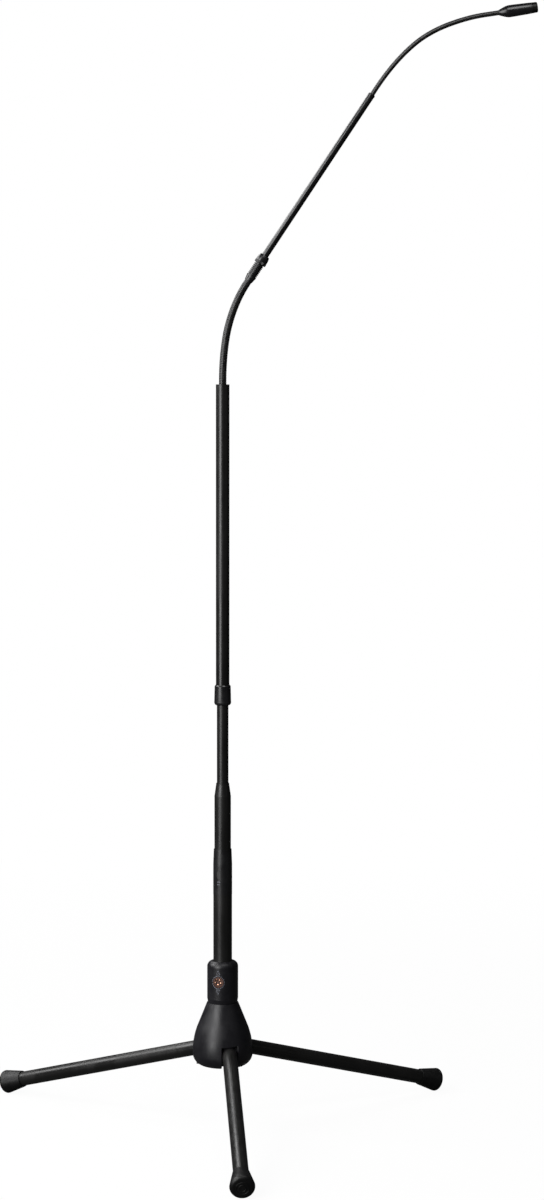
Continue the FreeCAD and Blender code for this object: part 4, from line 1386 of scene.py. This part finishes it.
# ---------------------------------------------------------------- studio
@dataclass(frozen=True)
class SoftBox:
    """One soft studio light."""

    name: str
    place: tuple[float, float, float]
    aim: tuple[float, float, float]
    width: float
    height: float
    radiance: float

    def build(self) -> None:
        """Hang the light."""
        data = bpy.data.lights.new(self.name, "AREA")
        data.shape = "RECTANGLE"
        data.size = self.width
        data.size_y = self.height
        data.energy = self.radiance * math.pi * self.width * self.height
        made = bpy.data.objects.new(self.name, data)
        made.location = self.place
        made.rotation_mode = "QUATERNION"
        made.rotation_quaternion = (Vector(self.aim) - Vector(self.place)).to_track_quat("-Z", "Y")
        bpy.context.scene.collection.objects.link(made)
        log.info("light %s", self.name)


@dataclass
class Studio:
    """Pale floor, soft lights and the camera."""

    floor_half: float = 9.0
    fade: tuple[float, float] = (0.5, 2.2)
    glow_near: float = 0.955
    camera_place: tuple[float, float, float] = (0.0533, -3.774, 1.0175)
    yaw: float = 0.217
    pitch: float = 4.355
    roll: float = -0.078
    lens: float = 82.85
    boxes: tuple[SoftBox, ...] = (
        SoftBox("key_box", (-1.85, -2.2, 1.5), (0.0, 0.0, 0.85), 1.5, 3.0, 7.2),
        SoftBox("top_box", (-2.3, 0.1, 2.2), (0.0, 0.0, 0.3), 1.7, 1.7, 6.6),
        SoftBox("back_box", (-1.4, 2.0, 2.9), (0.0, 0.0, 0.3), 1.4, 1.4, 5.0),
        SoftBox("head_box", (0.4, -0.85, 2.35), (0.4, 0.0, 1.5), 0.8, 0.7, 6.0),
        SoftBox("fill_box", (2.8, -1.6, 1.4), (0.0, 0.0, 0.8), 1.2, 1.8, 0.15),
    )

    def floor(self) -> None:
        """Pale floor that fades into the backdrop away from the object."""
        reach = self.floor_half
        corners = [(x * reach, y * reach, 0.0) for x, y in ((-1, -1), (1, -1), (1, 1), (-1, 1))]
        made = mesh_object("studio_floor", corners, [], [(0, 1, 2, 3)])
        finish = bpy.data.materials.new("pale_floor")
        finish.use_nodes = True
        tree = finish.node_tree
        tree.nodes.remove(tree.nodes["Principled BSDF"])
        graph = Graph(tree)
        place = graph.add("ShaderNodeTexCoord")
        away = graph.add("ShaderNodeVectorMath", {0: place.outputs["Object"]}, operation="LENGTH")
        far = graph.ramp(away.outputs["Value"], *self.fade, self.glow_near, 1.0)
        lit = graph.add("ShaderNodeBsdfDiffuse", {"Color": (0.9, 0.9, 0.9, 1.0)})
        glow = graph.add("ShaderNodeEmission", {"Color": (1.0, 1.0, 1.0, 1.0), "Strength": 1.0})
        seen = graph.add("ShaderNodeMixShader", {0: far, 1: lit, 2: glow})
        unseen = graph.add("ShaderNodeBsdfDiffuse", {"Color": (0.08, 0.08, 0.08, 1.0)})
        rays = graph.add("ShaderNodeLightPath")
        both = graph.add("ShaderNodeMixShader", {0: rays.outputs["Is Camera Ray"], 1: unseen, 2: seen})
        graph.feed(tree.nodes["Material Output"].inputs["Surface"], both)
        made.data.materials.append(finish)

    def backdrop(self) -> None:
        """White backdrop that lights the object only a little."""
        world = bpy.data.worlds.new("studio")
        world.use_nodes = True
        bpy.context.scene.world = world
        tree = world.node_tree
        graph = Graph(tree)
        white = graph.add("ShaderNodeBackground", {"Color": (1.0, 1.0, 1.0, 1.0), "Strength": 1.0})
        dim = graph.add("ShaderNodeBackground", {"Color": (0.95, 0.97, 1.0, 1.0), "Strength": 0.035})
        rays = graph.add("ShaderNodeLightPath")
        both = graph.add("ShaderNodeMixShader", {0: rays.outputs["Is Camera Ray"], 1: dim, 2: white})
        graph.feed(tree.nodes["World Output"].inputs["Surface"], both)

    def camera(self) -> None:
        """Camera level with the middle of the mast, a few steps away."""
        data = bpy.data.cameras.new("camera")
        data.lens = self.lens
        data.sensor_width = 36.0
        data.clip_end = 60.0
        made = bpy.data.objects.new("camera", data)
        yaw, pitch = math.radians(self.yaw), math.radians(self.pitch)
        ahead = Vector((math.sin(yaw) * math.cos(pitch), math.cos(yaw) * math.cos(pitch), -math.sin(pitch)))
        made.location = self.camera_place
        made.rotation_mode = "QUATERNION"
        made.rotation_quaternion = Quaternion(ahead, math.radians(self.roll)) @ ahead.to_track_quat("-Z", "Y")
        bpy.context.scene.collection.objects.link(made)
        bpy.context.scene.camera = made

    def build(self) -> None:
        """Set up the whole studio."""
        bpy.context.scene.view_settings.view_transform = "Standard"
        self.floor()
        self.backdrop()
        self.camera()
        for box in self.boxes:
            box.build()


# ---------------------------------------------------------------- assembly
def numbered(prefix: str) -> tuple[str, ...]:
    """Names of a main joint and its followers, in order."""
    return tuple(row["name"] for row in frame["joints"] if row["name"].startswith(prefix))


def build_boom_side(palette: Palette, trees: Trees) -> list[SubAssembly]:
    """Everything above the mast, placed from the frame's joints.

    Args:
        palette: The finishes.
        trees: The Geometry Nodes trees.

    Returns:
        The sub-assemblies.
    """
    twist = joint("coupling_twist")
    axis = Vector(twist["axis"]).normalized()
    coupling = Coupling(palette, trees, axis=axis)
    coupling.origin = Vector(twist["pos_m"]) - axis * (coupling.cone + coupling.barrel)
    mast_top = Vector((0.0, 0.0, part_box("upper_tube")[1].z))
    lower = Gooseneck(palette, trees, name="gooseneck_lower", joints=numbered("lower_neck_bend"),
                      root=mast_top, tip=coupling.origin, radius=5.2 * MM, pitch=2.3 * MM, depth=0.38 * MM,
                      root_depth=20.0 * MM, tip_depth=coupling.cone + coupling.barrel - 1.0 * MM)
    upper_joints = numbered("upper_neck_bend")
    last = Vector(joint(upper_joints[-1])["pos_m"])
    head_axis = (node_middle("head_grille") - last).normalized()
    head_low = node_middle("head_cone")
    head = Head(palette, trees, axis=head_axis)
    cone_half = 9.25 * MM
    head.origin = last + head_axis * ((head_low - last).dot(head_axis) - cone_half)
    ring_middle = node_middle("boom_end_ring")
    ring_length = 14.0 * MM
    upper = Gooseneck(palette, trees, name="gooseneck_upper", joints=upper_joints,
                      root=ring_middle + axis * (ring_length / 2), tip=head.origin, radius=3.35 * MM,
                      pitch=1.6 * MM, depth=0.26 * MM, sides=22, root_depth=10.0 * MM, tip_depth=9.0 * MM)
    return [lower, coupling, upper, head]


def main() -> None:
    """Build every sub-assembly and the studio, and report each piece."""
    logging.basicConfig(level=logging.INFO, format="%(name)s: %(message)s")
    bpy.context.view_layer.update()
    palette = Palette()
    trees = Trees()
    Studio().build()
    stand = [Tripod(palette, trees), Hub(palette, trees), Mast(palette, trees)]
    for part in stand + build_boom_side(palette, trees):
        part.build()


if __name__ == "__main__":
    main()
